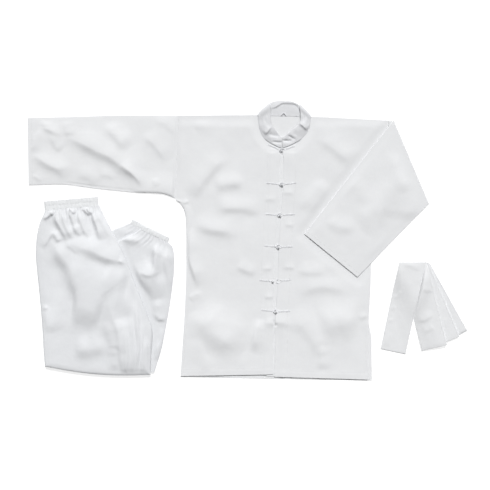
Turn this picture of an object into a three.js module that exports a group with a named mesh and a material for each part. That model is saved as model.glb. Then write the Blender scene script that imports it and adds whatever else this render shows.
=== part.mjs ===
// A tai chi uniform laid out flat: jacket with one sleeve folded over, trousers folded in half
// and then at the knee, and a belt folded into a fan. Millimetres, +Z up, the set lies on z = 0.
import * as THREE from "three";

// Cloth
const WALL = 1.2; // the cloth's wall
const GAP = 0.3; // between two pieces at a seam, and between two layers that touch
const LAYER = WALL + GAP;

// Jacket, in its own frame: origin at the back of the neck, +Y towards the collar
const JACKET_LENGTH = 754;
const SLEEVE_REACH = 743; // from the middle of the neck to the cuff
const CUFF_WIDTH = 195;
const COLLAR_HEIGHT = 43;
const HEM_DROP = 3; // the back hem shows this far below the fronts
const SLIT_DROP = 590; // from the neck down to the top of the side slits
const UNDERLAP_WIDTH = 40;
const UNDERLAP_LENGTH = 655;

// Frog fastenings
const CORD_WIDTH = 3.6;
const CORD_HEIGHT = 2.2;
const KNOT_ARM_HEIGHT = 2.3;
const KNOT_RADIUS = 4;

// Trousers, in their own frame: origin at the middle of the waistband's top edge
const WAIST_QUARTER = 160; // the waistband folded in four
const WAISTBAND_HEIGHT = 28;
const WAIST_GATHERS = 15;
const CUFF_QUARTER = 92; // the elastic ankle laid flat
const ANKLE_BAND_HEIGHT = 14;
const ANKLE_GATHERS = 9;
const FOLDED_LENGTH = 484; // from the waistband to the fold at the knee

// Belt, in its own frame: origin at the middle of its top fold
const BELT_WIDTH = 74;
const BELT_WALL = 1.5;
const BELT_PITCH = 2.1; // from one fold of the fan to the next

// Where each garment lies in the layout
const JACKET_AT = [113, 374];
const TROUSERS_AT = [-503, 133];
const BELT_AT = [483, -52];

const clamp01 = (t) => Math.min(1, Math.max(0, t));
const smooth = (t) => clamp01(t) ** 2 * (3 - 2 * clamp01(t));
const mix = (a, b, t) => a + (b - a) * t;
const degrees = (angle) => (angle * Math.PI) / 180;
const steps = (n) => Array.from({ length: n + 1 }, (_, i) => i / n);

// A smooth curve through a table's points; t runs evenly from the first row to the last.
function through(points) {
  const curve = new THREE.CatmullRomCurve3(
    points.map(([x, y, z = 0]) => new THREE.Vector3(x, y, z)),
    false,
    "catmullrom",
    0.4,
  );
  return (t) => curve.getPoint(clamp01(t));
}

// The outline of a table of rows, from the first row's left end round to its right end.
function outlineOf(rows, left, right, n = 24) {
  const a = through(rows.map((row) => row[left]));
  const b = through(rows.map((row) => row[right]));
  const up = steps(n).map((t) => a(t));
  const down = steps(n).map((t) => b(1 - t));
  return [...up, ...down];
}

// How far (x, y) lies outside a closed outline, and 0 inside it.
function outside(outline, x, y) {
  let inside = false;
  let nearest = Infinity;
  outline.forEach((p, i) => {
    const q = outline[(i + 1) % outline.length];
    if (p.y > y !== q.y > y && x < ((q.x - p.x) * (y - p.y)) / (q.y - p.y) + p.x) {
      inside = !inside;
    }
    const along = new THREE.Vector2(q.x - p.x, q.y - p.y);
    const t = clamp01(
      ((x - p.x) * along.x + (y - p.y) * along.y) / Math.max(along.lengthSq(), 1e-9),
    );
    nearest = Math.min(nearest, Math.hypot(p.x + t * along.x - x, p.y + t * along.y - y));
  });
  return inside ? 0 : nearest;
}

// How much of a lower layer's height cloth lying over it takes: 1 on it and for a margin
// round it, and 0 past the ramp.
const covers = (outline, margin, ramp) => (x, y) =>
  1 - smooth((outside(outline, x, y) - margin) / ramp);

// Where to sample a table, so that samples lie evenly whatever the spacing of its rows is.
function evenly(rows, key, spacing) {
  const at = [0];
  rows.slice(1).forEach((row, i) => {
    const [x, y] = rows[i][key];
    const count = Math.max(1, Math.round(Math.hypot(row[key][0] - x, row[key][1] - y) / spacing));
    for (let j = 1; j <= count; j += 1) at.push((i + j / count) / (rows.length - 1));
  });
  return at;
}

// The height that folds give the cloth at (x, y). Each row: where the crest runs, its half
// width and its height; the crest fades to nothing at both ends.
function foldHeight(folds) {
  const crests = folds.map((fold) => {
    const curve = through(fold.crest);
    return { ...fold, points: steps(14).map(curve) };
  });
  return (x, y) =>
    crests.reduce((sum, { points, width, height }) => {
      let best = 0;
      points.forEach((p, i) => {
        const far = Math.hypot(p.x - x, p.y - y) / width;
        const fade = Math.sin(Math.PI * mix(0.12, 0.88, i / (points.length - 1)));
        best = Math.max(best, fade * Math.exp(-far * far));
      });
      return sum + height * best;
    }, 0);
}

// A closed geometry from two skins of rows of points, with a rim round them.
// Closed rows join their last column to their first, as a tube's rings do.
function skins(upper, lower, closedRows = false) {
  const rows = upper.length;
  const columns = upper[0].length;
  const positions = [...upper.flat(), ...lower.flat()].flatMap((p) => [p.x, p.y, p.z]);
  const top = (r, c) => r * columns + (c % columns);
  const under = (r, c) => rows * columns + top(r, c);
  const faces = [];
  const quad = (a, b, c, d) => faces.push(a, b, c, a, c, d);
  const lastColumn = closedRows ? columns : columns - 1;
  for (let r = 0; r < rows - 1; r += 1) {
    for (let c = 0; c < lastColumn; c += 1) {
      quad(top(r, c), top(r, c + 1), top(r + 1, c + 1), top(r + 1, c));
      quad(under(r, c), under(r + 1, c), under(r + 1, c + 1), under(r, c + 1));
    }
  }
  for (let c = 0; c < lastColumn; c += 1) {
    quad(top(0, c + 1), top(0, c), under(0, c), under(0, c + 1));
    quad(top(rows - 1, c), top(rows - 1, c + 1), under(rows - 1, c + 1), under(rows - 1, c));
  }
  if (!closedRows) {
    for (let r = 0; r < rows - 1; r += 1) {
      quad(top(r, 0), top(r + 1, 0), under(r + 1, 0), under(r, 0));
      quad(top(r + 1, lastColumn), top(r, lastColumn), under(r, lastColumn), under(r + 1, lastColumn));
    }
  }
  const geometry = new THREE.BufferGeometry();
  geometry.setAttribute("position", new THREE.Float32BufferAttribute(positions, 3));
  geometry.setIndex(facesOut(positions, faces));
  geometry.computeVertexNormals();
  return geometry;
}

// Turns every face round if the closed surface points inwards.
function facesOut(positions, faces) {
  const at = (i) => new THREE.Vector3().fromArray(positions, 3 * i);
  let volume = 0;
  for (let i = 0; i < faces.length; i += 3) {
    volume += at(faces[i]).dot(at(faces[i + 1]).cross(at(faces[i + 2])));
  }
  if (volume < 0) {
    for (let i = 0; i < faces.length; i += 3) {
      [faces[i + 1], faces[i + 2]] = [faces[i + 2], faces[i + 1]];
    }
  }
  return faces;
}

// A wall of even thickness about a middle surface given as rows of points.
function wallAbout(middle, wall = WALL) {
  const last = [middle.length - 1, middle[0].length - 1];
  const point = (r, c) =>
    middle[Math.min(last[0], Math.max(0, r))][Math.min(last[1], Math.max(0, c))];
  const moved = (side) =>
    middle.map((row, r) =>
      row.map((p, c) => {
        const along = point(r + 1, c).clone().sub(point(r - 1, c));
        const across = point(r, c + 1).clone().sub(point(r, c - 1));
        const normal = across.cross(along).normalize();
        return p.clone().addScaledVector(normal, (side * wall) / 2);
      }),
    );
  return skins(moved(1), moved(-1));
}

// A solid through rings of points, with its ends closed unless the rings come back round.
function loft(rings, ends) {
  const count = rings[0].length;
  const closed = !ends;
  const used = closed ? rings.slice(0, -1) : rings;
  const positions = used.flat().flatMap((p) => [p.x, p.y, p.z]);
  const faces = [];
  const at = (r, c) => (r % used.length) * count + (c % count);
  for (let r = 0; r < used.length - (closed ? 0 : 1); r += 1) {
    for (let c = 0; c < count; c += 1) {
      faces.push(at(r, c), at(r, c + 1), at(r + 1, c + 1), at(r, c), at(r + 1, c + 1), at(r + 1, c));
    }
  }
  if (ends) {
    const last = used.length - 1;
    for (let c = 1; c < count - 1; c += 1) {
      faces.push(at(0, 0), at(0, c + 1), at(0, c), at(last, 0), at(last, c), at(last, c + 1));
    }
  }
  const geometry = new THREE.BufferGeometry();
  geometry.setAttribute("position", new THREE.Float32BufferAttribute(positions, 3));
  geometry.setIndex(facesOut(positions, faces));
  geometry.computeVertexNormals();
  return geometry;
}

// Cloth lying on what is below it, given as rows of points on its underside.
function sheetOn(low, wall = WALL) {
  const last = [low.length - 1, low[0].length - 1];
  const point = (r, c) => low[Math.min(last[0], Math.max(0, r))][Math.min(last[1], Math.max(0, c))];
  const upper = low.map((row, r) =>
    row.map((p, c) => {
      const along = point(r + 1, c).clone().sub(point(r - 1, c));
      const across = point(r, c + 1).clone().sub(point(r, c - 1));
      const steepness = Math.abs(across.cross(along).normalize().z);
      return new THREE.Vector3(p.x, p.y, p.z + wall / Math.max(0.7, steepness));
    }),
  );
  return skins(upper, low);
}

// A flat tube of cloth from section lines that run across it: its outer skin goes out along
// one wall and back along the other, and the inner skin lies a wall's thickness inside.
// Each section gives place(w, depth): w runs across, depth from the lower wall's outside up.
function flatTube(sections, columns) {
  const ring = (section, inset) => {
    const edge = inset / section.width;
    const lower = steps(columns).map((w) => section.place(mix(edge, 1 - edge, w), 0, inset));
    const upper = steps(columns).map((w) => section.place(mix(1 - edge, edge, w), 1, inset));
    return [...lower, ...upper];
  };
  return skins(
    sections.map((s) => ring(s, 0)),
    sections.map((s) => ring(s, WALL)),
    true,
  );
}

function piece(name, geometry, colour, roughness = 0.85) {
  const material = new THREE.MeshStandardMaterial({ color: colour, roughness, metalness: 0 });
  const mesh = new THREE.Mesh(geometry, material);
  mesh.name = name;
  return mesh;
}

const WHITE_COTTON = 0xe6e7e8;
const WHITE_CORD = 0xeeeeec;

// The highest point of some geometries within reach of (x, y).
function highestOf(geometries) {
  const meshes = geometries.map((geometry) => new THREE.Mesh(geometry));
  const ray = new THREE.Raycaster();
  const down = new THREE.Vector3(0, 0, -1);
  const spots = [[0, 0], ...steps(7).map((t) => [Math.cos(2 * Math.PI * t), Math.sin(2 * Math.PI * t)])];
  return (x, y, reach) => {
    const heights = spots.flatMap(([dx, dy]) => {
      ray.set(new THREE.Vector3(x + reach * dx, y + reach * dy, 200), down);
      return ray.intersectObjects(meshes, false).map((hit) => hit.point.z);
    });
    return Math.max(0, ...heights);
  };
}

// JACKET

// Rows from the hem up to the shoulder: where the side edge and the front edge are.
const FRONT_RIGHT_ROWS = [
  { side: [-300, -JACKET_LENGTH], front: [-32, -749] },
  { side: [-294, -664], front: [-31, -664] },
  { side: [-289, -SLIT_DROP], front: [-32, -600] },
  { side: [-284, -478], front: [-31, -500] },
  { side: [-283, -357], front: [-27, -380] },
  { side: [-285, -296], front: [-21, -290] },
  { side: [-291, -269], front: [-16, -240] },
  { side: [-303, -251], front: [-14, -205] },
  { side: [-315, -239], front: [-13, -162] },
  { side: [-312.1, -171], front: [-12, -125] },
  { side: [-309.1, -99], front: [-12, -99] },
  { side: [-307.5, -60], front: [-45, -79] },
  { side: [-306, -25], front: [-71, -42] },
  { side: [-305, -1], front: [-77, 1] },
];
const FRONT_LEFT_ROWS = [
  { side: [245, -764], front: [-28, -756] },
  { side: [244, -664], front: [-26, -664] },
  { side: [246, -SLIT_DROP], front: [-26, -600] },
  { side: [251, -490], front: [-19, -500] },
  { side: [254, -360], front: [-15, -380] },
  { side: [256, -310], front: [-9, -290] },
  { side: [265, -275], front: [-5, -240] },
  { side: [287, -251], front: [-3, -205] },
  { side: [310, -243], front: [-2, -162] },
  { side: [307.8, -171], front: [-1, -125] },
  { side: [305.6, -99], front: [-1, -99] },
  { side: [304.3, -55], front: [38, -78] },
  { side: [303.4, -28], front: [70, -44] },
  { side: [303, -13], front: [79, -6] },
];

// The largest folds of the fronts and sleeves.
const FRONT_FOLDS = [
  { crest: [[-273, -241], [-229, -186], [-186, -136], [-136, -104]], width: 18, height: 6 },
  { crest: [[-225, -224], [-171, -203], [-110, -203]], width: 16, height: 5 },
  { crest: [[-250, -282], [-140, -276], [-64, -293]], width: 17, height: 5 },
  { crest: [[-264, -325], [-200, -341], [-128, -336]], width: 15, height: 4 },
  { crest: [[-278, -410], [-268, -460], [-240, -500]], width: 15, height: 5 },
  { crest: [[-139, -438], [-90, -461], [-66, -505]], width: 15, height: 3 },
  { crest: [[-276, -620], [-244, -664], [-171, -702], [-125, -735]], width: 24, height: 7 },
  { crest: [[-78, -582], [-86, -639], [-99, -690]], width: 16, height: 4 },
  { crest: [[42, -271], [78, -244], [120, -212]], width: 17, height: 4 },
  { crest: [[60, -470], [110, -452], [190, -470]], width: 20, height: 4 },
  { crest: [[19, -605], [60, -623], [101, -684]], width: 18, height: 5 },
  { crest: [[165, -600], [125, -638], [110, -687], [109, -735]], width: 18, height: 5 },
  { crest: [[95, -54], [157, -99], [205, -146]], width: 18, height: 4 },
];
const SLEEVE_FOLDS = [
  { crest: [[-644, -61], [-580, -99], [-519, -128], [-461, -157], [-415, -200]], width: 18, height: 8 },
  { crest: [[-513, -23], [-487, -70], [-467, -104]], width: 16, height: 5 },
  { crest: [[-409, -46], [-374, -99], [-345, -145]], width: 16, height: 4 },
  { crest: [[-728, -104], [-679, -136], [-641, -162], [-632, -190]], width: 15, height: 5 },
  { crest: [[-702, -25], [-679, -52], [-644, -61]], width: 15, height: 4 },
];
const FOLDED_SLEEVE_FOLDS = [
  { crest: [[250, -130], [276, -202], [300, -276], [310, -340]], width: 26, height: 4 },
  { crest: [[215, -265], [168, -324], [130, -340]], width: 22, height: 3 },
];

// The right sleeve lies stretched out. Rows from the cuff to its seam on the body.
const SLEEVE_RIGHT_ROWS = [
  { upper: [-SLEEVE_REACH, -6], lower: [-740, -6 - CUFF_WIDTH] },
  { upper: [-619, -4], lower: [-637, -199] },
  { upper: [-512, -1], lower: [-543, -211] },
  { upper: [-400, 0], lower: [-433, -222] },
  { upper: [-340, -1], lower: [-354, -226] },
  { upper: [-305.7, -1], lower: [-316.2, -239] },
];
// The left sleeve runs from its seam to a crease and then back over the front to its cuff.
const SLEEVE_LEFT_SEAM = { upper: [303.8, -13], lower: [311.4, -243] };
const SLEEVE_LEFT_CREASE = { upper: [316, -15], lower: [418, -256] };
const SLEEVE_LEFT_CUFF = { upper: [59, -342], lower: [213, -467] };

const CREASE_HEIGHT = 2 * WALL + 1.5 * GAP; // of the axis that the sleeve turns over about
const bodyOutline = outlineOf(
  FRONT_LEFT_ROWS.map((row, i) => ({ left: FRONT_RIGHT_ROWS[i].side, right: row.side })),
  "left",
  "right",
);
const underSleeve = [
  SLEEVE_LEFT_SEAM.upper,
  SLEEVE_LEFT_CREASE.upper,
  SLEEVE_LEFT_CREASE.lower,
  SLEEVE_LEFT_SEAM.lower,
].map(([x, y]) => new THREE.Vector2(x, y));
const foldedSleeve = [
  SLEEVE_LEFT_CREASE.upper,
  SLEEVE_LEFT_CREASE.lower,
  SLEEVE_LEFT_CUFF.lower,
  SLEEVE_LEFT_CUFF.upper,
].map(([x, y]) => new THREE.Vector2(x, y));
const underlapOutline = [
  [-14 - UNDERLAP_WIDTH / 2, -100],
  [-4 + UNDERLAP_WIDTH / 2, -100],
  [-27 + UNDERLAP_WIDTH / 2, -100 - UNDERLAP_LENGTH],
  [-32 - UNDERLAP_WIDTH / 2, -100 - UNDERLAP_LENGTH],
].map(([x, y]) => new THREE.Vector2(x, y));

const onBody = covers(bodyOutline, 24, 36);
const onUnderSleeve = covers(underSleeve, 24, 36);
const underFoldedSleeve = covers(foldedSleeve, 30, 40);
const onUnderlap = covers(underlapOutline, 16, 22);
const overUnderlap = covers(underlapOutline, 34, 30);

// The back is one flat piece, seen at the neck, the hem and the slits.
function jacketBack() {
  const left = through(FRONT_RIGHT_ROWS.map((row) => row.side));
  const right = through(FRONT_LEFT_ROWS.map((row) => row.side));
  const slit = (p, sign) => {
    const below = smooth((-p.y - SLIT_DROP) / 60);
    return new THREE.Vector2(p.x + sign * HEM_DROP * below, p.y - HEM_DROP * below);
  };
  const up = steps(26).map((t) => slit(right(t), 1));
  const down = steps(26).map((t) => slit(left(1 - t), -0.4));
  const neck = [[78, -6], [45, -3], [0, -1.5], [-40, -1], [-76, 1]];
  const shape = new THREE.Shape([...up, ...neck.map(([x, y]) => new THREE.Vector2(x, y)), ...down]);
  return new THREE.ExtrudeGeometry(shape, { depth: WALL, bevelEnabled: false });
}

// One front: cloth over the back, with its air and folds fading out at the sewn edges.
function jacketFront(rows) {
  const side = through(rows.map((row) => row.side));
  const front = through(rows.map((row) => row.front));
  const folds = foldHeight(FRONT_FOLDS);
  const neckline = rows.slice(-4).map((row) => new THREE.Vector2(...row.front));
  const airHeight = 1.6;
  const sewnEdge = 40;
  const across = [0, 0.04, 0.12, 0.21, 0.31, 0.41, 0.52, 0.63, 0.74, 0.84, 0.93, 1];
  const low = evenly(rows, "side", 30).map((v) =>
    across.map((u) => {
      const p = side(v).lerp(front(v), u);
      const fromSide = u * side(v).distanceTo(front(v));
      const fromShoulder = Math.max(0, -p.y - 6);
      const fromNeck = Math.min(...neckline.map((q) => Math.hypot(q.x - p.x, q.y - p.y)));
      const free =
        smooth(fromSide / sewnEdge) * smooth(fromShoulder / sewnEdge) * smooth(fromNeck / sewnEdge);
      const pressed = 1 - underFoldedSleeve(p.x, p.y);
      p.z = LAYER + LAYER * onUnderlap(p.x, p.y) + free * (airHeight + folds(p.x, p.y)) * pressed;
      return p;
    }),
  );
  return sheetOn(low);
}

// A section of a flat sleeve or trouser leg that lies along a line from one edge to the other.
function section(from, to, heights) {
  const a = new THREE.Vector2(...from);
  const b = new THREE.Vector2(...to);
  return {
    width: a.distanceTo(b),
    place(w, wall, inset) {
      const { x, y } = a.clone().lerp(b, w);
      const edge = Math.sqrt(Math.max(0, Math.min(w, 1 - w))) * 2;
      const { base, air } = heights(x, y, clamp01(edge));
      const z = wall === 0 ? base + inset : base + 2 * WALL + GAP + air - inset;
      return new THREE.Vector3(x, y, z);
    },
  };
}

function rowsToSections(rows, from, to, spacing, heights) {
  const a = through(rows.map((row) => row[from]));
  const b = through(rows.map((row) => row[to]));
  return evenly(rows, from, spacing).map((t) => {
    const p = a(t);
    const q = b(t);
    return section([p.x, p.y], [q.x, q.y], heights);
  });
}

function sleeveRight() {
  const folds = foldHeight(SLEEVE_FOLDS);
  const air = 2;
  const heights = (x, y, edge) => {
    const cuff = smooth((x + SLEEVE_REACH) / 30);
    const seam = smooth((-306 - x) / 35);
    return { base: 0, air: edge * seam * (air + folds(x, y) * cuff) };
  };
  return flatTube(rowsToSections(SLEEVE_RIGHT_ROWS, "upper", "lower", 29, heights), 8);
}

function sleeveLeft() {
  const flat = () => ({ base: 0, air: 0 });
  const under = [
    section(SLEEVE_LEFT_SEAM.upper, SLEEVE_LEFT_SEAM.lower, flat),
    section(SLEEVE_LEFT_CREASE.upper, SLEEVE_LEFT_CREASE.lower, flat),
  ];
  const top = new THREE.Vector2(...SLEEVE_LEFT_CREASE.upper);
  const bottom = new THREE.Vector2(...SLEEVE_LEFT_CREASE.lower);
  const width = top.distanceTo(bottom);
  const out = bottom.clone().sub(top).rotateAround(new THREE.Vector2(), Math.PI / 2).normalize();
  const innerRadius = GAP / 2;
  const outerRadius = CREASE_HEIGHT;
  const turn = [30, 60, 90, 120, 150].map((angle) => ({
    width,
    place(w, wall, inset) {
      const radius = wall === 0 ? outerRadius - inset : innerRadius + inset;
      const { x, y } = top.clone().lerp(bottom, w).addScaledVector(out, radius * Math.sin(degrees(angle)));
      return new THREE.Vector3(x, y, CREASE_HEIGHT - radius * Math.cos(degrees(angle)));
    },
  }));
  // Past the crease the first wall lies on top, so its heights swap over.
  const folds = foldHeight(FOLDED_SLEEVE_FOLDS);
  const over = steps(13).map((t) => {
    const from = top.clone().lerp(new THREE.Vector2(...SLEEVE_LEFT_CUFF.upper), t);
    const to = bottom.clone().lerp(new THREE.Vector2(...SLEEVE_LEFT_CUFF.lower), t);
    return {
      width: from.distanceTo(to),
      place(w, wall, inset) {
        const { x, y } = from.clone().lerp(to, w);
        const onJacket = 2 * Math.max(onBody(x, y), onUnderSleeve(x, y));
        const base = LAYER * (onJacket + overUnderlap(x, y));
        const free = smooth(t / 0.2) * smooth(Math.min(w, 1 - w) / 0.2);
        const air = free * (2 + folds(x, y));
        const z = wall === 0 ? base + 2 * WALL + GAP + air - inset : base + inset;
        return new THREE.Vector3(x, y, z);
      },
    };
  });
  return flatTube([...under, ...turn, ...over], 8);
}

// The collar is a band that stands a little, flattened into two layers at the shoulders.
// Rows go from the right front end, round the back, to the left front end.
const COLLAR_FRONT_RIGHT = [
  { seam: [-8.5, -94, 4], edge: [-8, -62, 6] },
  { seam: [-24, -85, 4], edge: [-20, -48, 8] },
  { seam: [-44, -74, 4], edge: [-31, -34, 9] },
  { seam: [-60, -60, 4], edge: [-38, -25, 10] },
  { seam: [-69, -40, 4], edge: [-41, -14, 11] },
  { seam: [-74, -18, 4.1], edge: [-41.5, 8, 10] },
];
const COLLAR_BACK = [
  { seam: [-58, 1.2, 0.6], edge: [-33, 40.5, 1.2] },
  { seam: [-30, -0.2, 0.6], edge: [-17, COLLAR_HEIGHT, 2.4] },
  { seam: [0, -0.6, 0.6], edge: [1, COLLAR_HEIGHT, 3] },
  { seam: [30, -1.4, 0.6], edge: [22, 42, 2.4] },
  { seam: [60, -3, 0.6], edge: [37, 36, 1.2] },
];
const COLLAR_FRONT_LEFT = [
  { seam: [77, -20, 4.1], edge: [47, 8, 10] },
  { seam: [73, -36, 4], edge: [47, -12, 11] },
  { seam: [64, -52, 4], edge: [41, -26, 10] },
  { seam: [48, -68, 4], edge: [27, -37, 9] },
  { seam: [30, -78, 4], edge: [12, -49, 8] },
  { seam: [12, -86, 4], edge: [1, -58, 7] },
  { seam: [-0.5, -92, 4], edge: [-3, -62, 6] },
];
const COLLAR_FOLD_RIGHT = { seam: [-76, 1.5], edge: [-41, 36], out: 135 };
const COLLAR_FOLD_LEFT = { seam: [78, -5.5], edge: [45, 30], out: 45 };

function collar() {
  // The turn over a shoulder: the band goes round a line from its seam to its free edge.
  const turn = (fold, angles) =>
    angles.map((angle) => {
      const at = ([x, y], radius, centre) => {
        const reach = radius * Math.cos(degrees(angle));
        return [
          x + reach * Math.cos(degrees(fold.out)),
          y + reach * Math.sin(degrees(fold.out)),
          centre + radius * Math.sin(degrees(angle)),
        ];
      };
      return { seam: at(fold.seam, 1.9, 2.5), edge: at(fold.edge, 4, 5.2) };
    });
  const rows = [
    ...COLLAR_FRONT_RIGHT,
    ...turn(COLLAR_FOLD_RIGHT, [60, 20, -20, -60]),
    ...COLLAR_BACK,
    ...turn(COLLAR_FOLD_LEFT, [-60, -20, 20, 60]),
    ...COLLAR_FRONT_LEFT,
  ];
  const bow = 1.2; // the band bellies a little between its seam and its free edge
  const middle = rows.map(({ seam, edge }) => {
    const a = new THREE.Vector3(...seam);
    const b = new THREE.Vector3(...edge);
    return steps(4).map((t) => {
      const p = a.clone().lerp(b, t);
      p.z += bow * Math.sin(Math.PI * t);
      return p;
    });
  });
  return wallAbout(middle);
}

// A narrow tape loop sewn in at the back of the neck.
function hangingLoop() {
  const path = through([[-8, 2.5, 2.4], [-5, 6, 2.9], [0, 9, 3.3], [5, 6, 2.9], [8, 2.5, 2.4]]);
  const tapeWidth = 3;
  const middle = steps(6).map((t) => {
    const p = path(t);
    const along = path(Math.min(1, t + 0.02)).sub(path(Math.max(0, t - 0.02))).normalize();
    const across = new THREE.Vector3(-along.y, along.x, 0).multiplyScalar(tapeWidth / 2);
    return [p.clone().sub(across), p.clone().add(across)];
  });
  return wallAbout(middle, 0.8);
}

function underlap() {
  const shape = new THREE.Shape(underlapOutline);
  const flat = new THREE.ExtrudeGeometry(shape, { depth: WALL, bevelEnabled: false });
  return flat.translate(0, 0, LAYER);
}

// FROG FASTENINGS. Rows from the collar down: where the knot lies and how far each arm
// reaches. The loop of an undone one lies beside its knot.
const FROGS = [
  { knot: [-8, -105], knotArm: [-44, -88], loopArm: [31, -92] },
  { knot: [-6, -200], knotArm: [-51, -194], loopArm: [35, -194] },
  { knot: [-12, -289], knotArm: [-53, -285], loopArm: [31, -285] },
  { knot: [-16, -381], knotArm: [-57, -376], loopArm: [25, -381] },
  { knot: [-34, -480], knotArm: [-71, -478], loopArm: [20, -475], eye: [-15, -480] },
  { knot: [-24, -568], knotArm: [-65, -564], loopArm: [18, -566] },
];
// Half an eye and a cord's course from it, in the fastening's own frame: along its arm and
// across it. The cord comes back on the other side.
const EYE_RADIUS = KNOT_RADIUS + 0.8 + CORD_WIDTH / 2;
const EYE_ANGLES = [180, 130, 90, 55, 25];
const HALF_PAIR = CORD_WIDTH / 2 + 0.2;
const CORD_SECTION = [[-0.5, 0], [0.5, 0], [0.42, 0.62], [0, 1], [-0.42, 0.62]];

// Places a point of a fastening: along and across its arm from where it starts.
function armFrame(from, to) {
  const start = new THREE.Vector2(...from);
  const along = new THREE.Vector2(...to).sub(start).normalize();
  const across = new THREE.Vector2(-along.y, along.x);
  const length = new THREE.Vector2(...to).distanceTo(start);
  const place = (a, c) => start.clone().addScaledVector(along, a).addScaledVector(across, c);
  return { place, along, length };
}

// The loop: one cord round the knot and back along the arm, closed at the arm's end.
function frogLoop(frog, highest) {
  const from = frog.eye ?? frog.knot;
  const { place, length } = armFrame(from, frog.loopArm);
  const knot = armFrame(frog.knot, frog.knotArm);
  const end = length - HALF_PAIR;
  const eye = EYE_ANGLES.map((angle) => {
    const turned = degrees(angle);
    return [EYE_RADIUS * Math.cos(turned), EYE_RADIUS * Math.sin(turned), turned];
  });
  const arm = [10.5, 18, 26, end].map((a) => [a, HALF_PAIR, Math.PI / 2]);
  const tip = [45, 0].map((angle) => {
    const turned = degrees(angle);
    return [end + HALF_PAIR * Math.cos(turned), HALF_PAIR * Math.sin(turned), turned];
  });
  const half = [...eye, ...arm, ...tip];
  const course = [...half, ...half.slice(1, -1).reverse().map(([a, c, turned]) => [a, -c, -turned])];
  const level = highest(...from, 2 * EYE_RADIUS);
  const rings = course.map(([a, c, turned]) => {
    const middle = place(a, c);
    // The eye crosses over the knot's own arm on the far side.
    const towards = middle.clone().sub(knot.place(0, 0)).dot(knot.along) / EYE_RADIUS;
    const crossing = frog.eye ? 0 : (KNOT_ARM_HEIGHT + 3 * GAP) * smooth(towards / 0.7);
    const onCloth = highest(middle.x, middle.y, 5);
    const low = GAP + mix(onCloth, level, smooth((16 - a) / 8)) + crossing;
    return CORD_SECTION.map(([w, h]) => {
      const p = place(a + w * CORD_WIDTH * Math.cos(turned), c + w * CORD_WIDTH * Math.sin(turned));
      return new THREE.Vector3(p.x, p.y, low + h * CORD_HEIGHT);
    });
  });
  return loft([...rings, rings[0]], false);
}

// The knot and its arm: a doubled cord that runs up into a ball.
// Rows from the arm's end: where, how wide, how high, and how round the section is.
const KNOT_ARM = [
  { back: 0, width: 4.6, height: 1.4, round: 0.3 },
  { back: 1.2, width: 7, height: 2.2, round: 0 },
  { back: 6, width: 7.6, height: KNOT_ARM_HEIGHT, round: 0 },
  { back: 18, width: 7.6, height: KNOT_ARM_HEIGHT, round: 0 },
  { back: 28, width: 7.6, height: KNOT_ARM_HEIGHT, round: 0 },
];
const KNOT_NECK = [
  { at: 11.5, width: 7.2, height: KNOT_ARM_HEIGHT, round: 0 },
  { at: 9.2, width: 4.6, height: 2, round: 0.2 },
  { at: 4.6, width: 4, height: 2, round: 0.5 },
];
const BALL_ANGLES = [48, 90, 130, 160];
// A doubled cord's section, as fractions of its width and height, and the angles of the
// same points on a round one.
const PAIR_SECTION = [
  { flat: [-0.5, 0.15], angle: 200 },
  { flat: [-0.25, 0], angle: 250 },
  { flat: [0.25, 0], angle: 290 },
  { flat: [0.5, 0.15], angle: 340 },
  { flat: [0.44, 0.7], angle: 20 },
  { flat: [0.25, 1], angle: 55 },
  { flat: [0, 0.55], angle: 90 },
  { flat: [-0.25, 1], angle: 125 },
  { flat: [-0.44, 0.7], angle: 160 },
];

function frogKnot(frog, highest) {
  const { place, length } = armFrame(frog.knot, frog.knotArm);
  const level = highest(...frog.knot, 2 * EYE_RADIUS);
  const stations = [
    ...KNOT_ARM.map(({ back, ...size }) => ({ ...size, at: length - back })),
    ...KNOT_NECK,
    ...BALL_ANGLES.map((angle) => ({
      at: KNOT_RADIUS * Math.cos(degrees(angle)),
      width: 2 * KNOT_RADIUS * Math.sin(degrees(angle)),
      height: 2 * KNOT_RADIUS * Math.sin(degrees(angle)),
      round: 1,
      centre: KNOT_RADIUS + 0.3,
    })),
  ];
  const rings = stations.map(({ at, width, height, round, centre = height / 2 }) => {
    const middle = place(at, 0);
    const low = GAP + mix(highest(middle.x, middle.y, 5), level, smooth((16 - at) / 6));
    return PAIR_SECTION.map(({ flat: [w, h], angle }) => {
      const turned = degrees(angle);
      const across = mix(w, Math.cos(turned) / 2, round) * width;
      const up = mix((h - 0.5) * height, (Math.sin(turned) * height) / 2, round);
      const p = place(at, across);
      return new THREE.Vector3(p.x, p.y, low + centre + up);
    });
  });
  return loft(rings, true);
}

// TROUSERS

// Rows from under the waistband down to the fold at the knee.
const THIGH_ROWS = [
  { outer: [-76.5, -35.3], inner: [82.5, -21.4] },
  { outer: [-91, -67], inner: [99, -55] },
  { outer: [-100, -107], inner: [120, -96] },
  { outer: [-103, -160], inner: [147, -147] },
  { outer: [-99, -212], inner: [167, -195] },
  { outer: [-93, -270], inner: [189, -255] },
  { outer: [-88, -325], inner: [214, -316] },
  { outer: [-83, -386], inner: [235, -380] },
  { outer: [-79, -438], inner: [232, -444] },
  { outer: [-75, -FOLDED_LENGTH], inner: [230, -508] },
];
const KNEE_SAG = 11; // how far the fold at the knee bows down between its ends

// The gathered ankles, from their left end to their right end.
const ANKLE_LEFT = { from: [205, -75], to: [288, -113] };
const ANKLE_RIGHT = { from: [174, -57], to: [257, -97] };
// The ends of the seam between a leg and its gathered ankle.
function ankleSeam({ from, to }) {
  const a = new THREE.Vector2(...from);
  const b = new THREE.Vector2(...to);
  const down = b.clone().sub(a).rotateAround(new THREE.Vector2(), -Math.PI / 2).normalize();
  const moved = (p) => p.clone().addScaledVector(down, ANKLE_BAND_HEIGHT + GAP).toArray();
  return { outer: moved(a), inner: moved(b), down };
}

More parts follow.
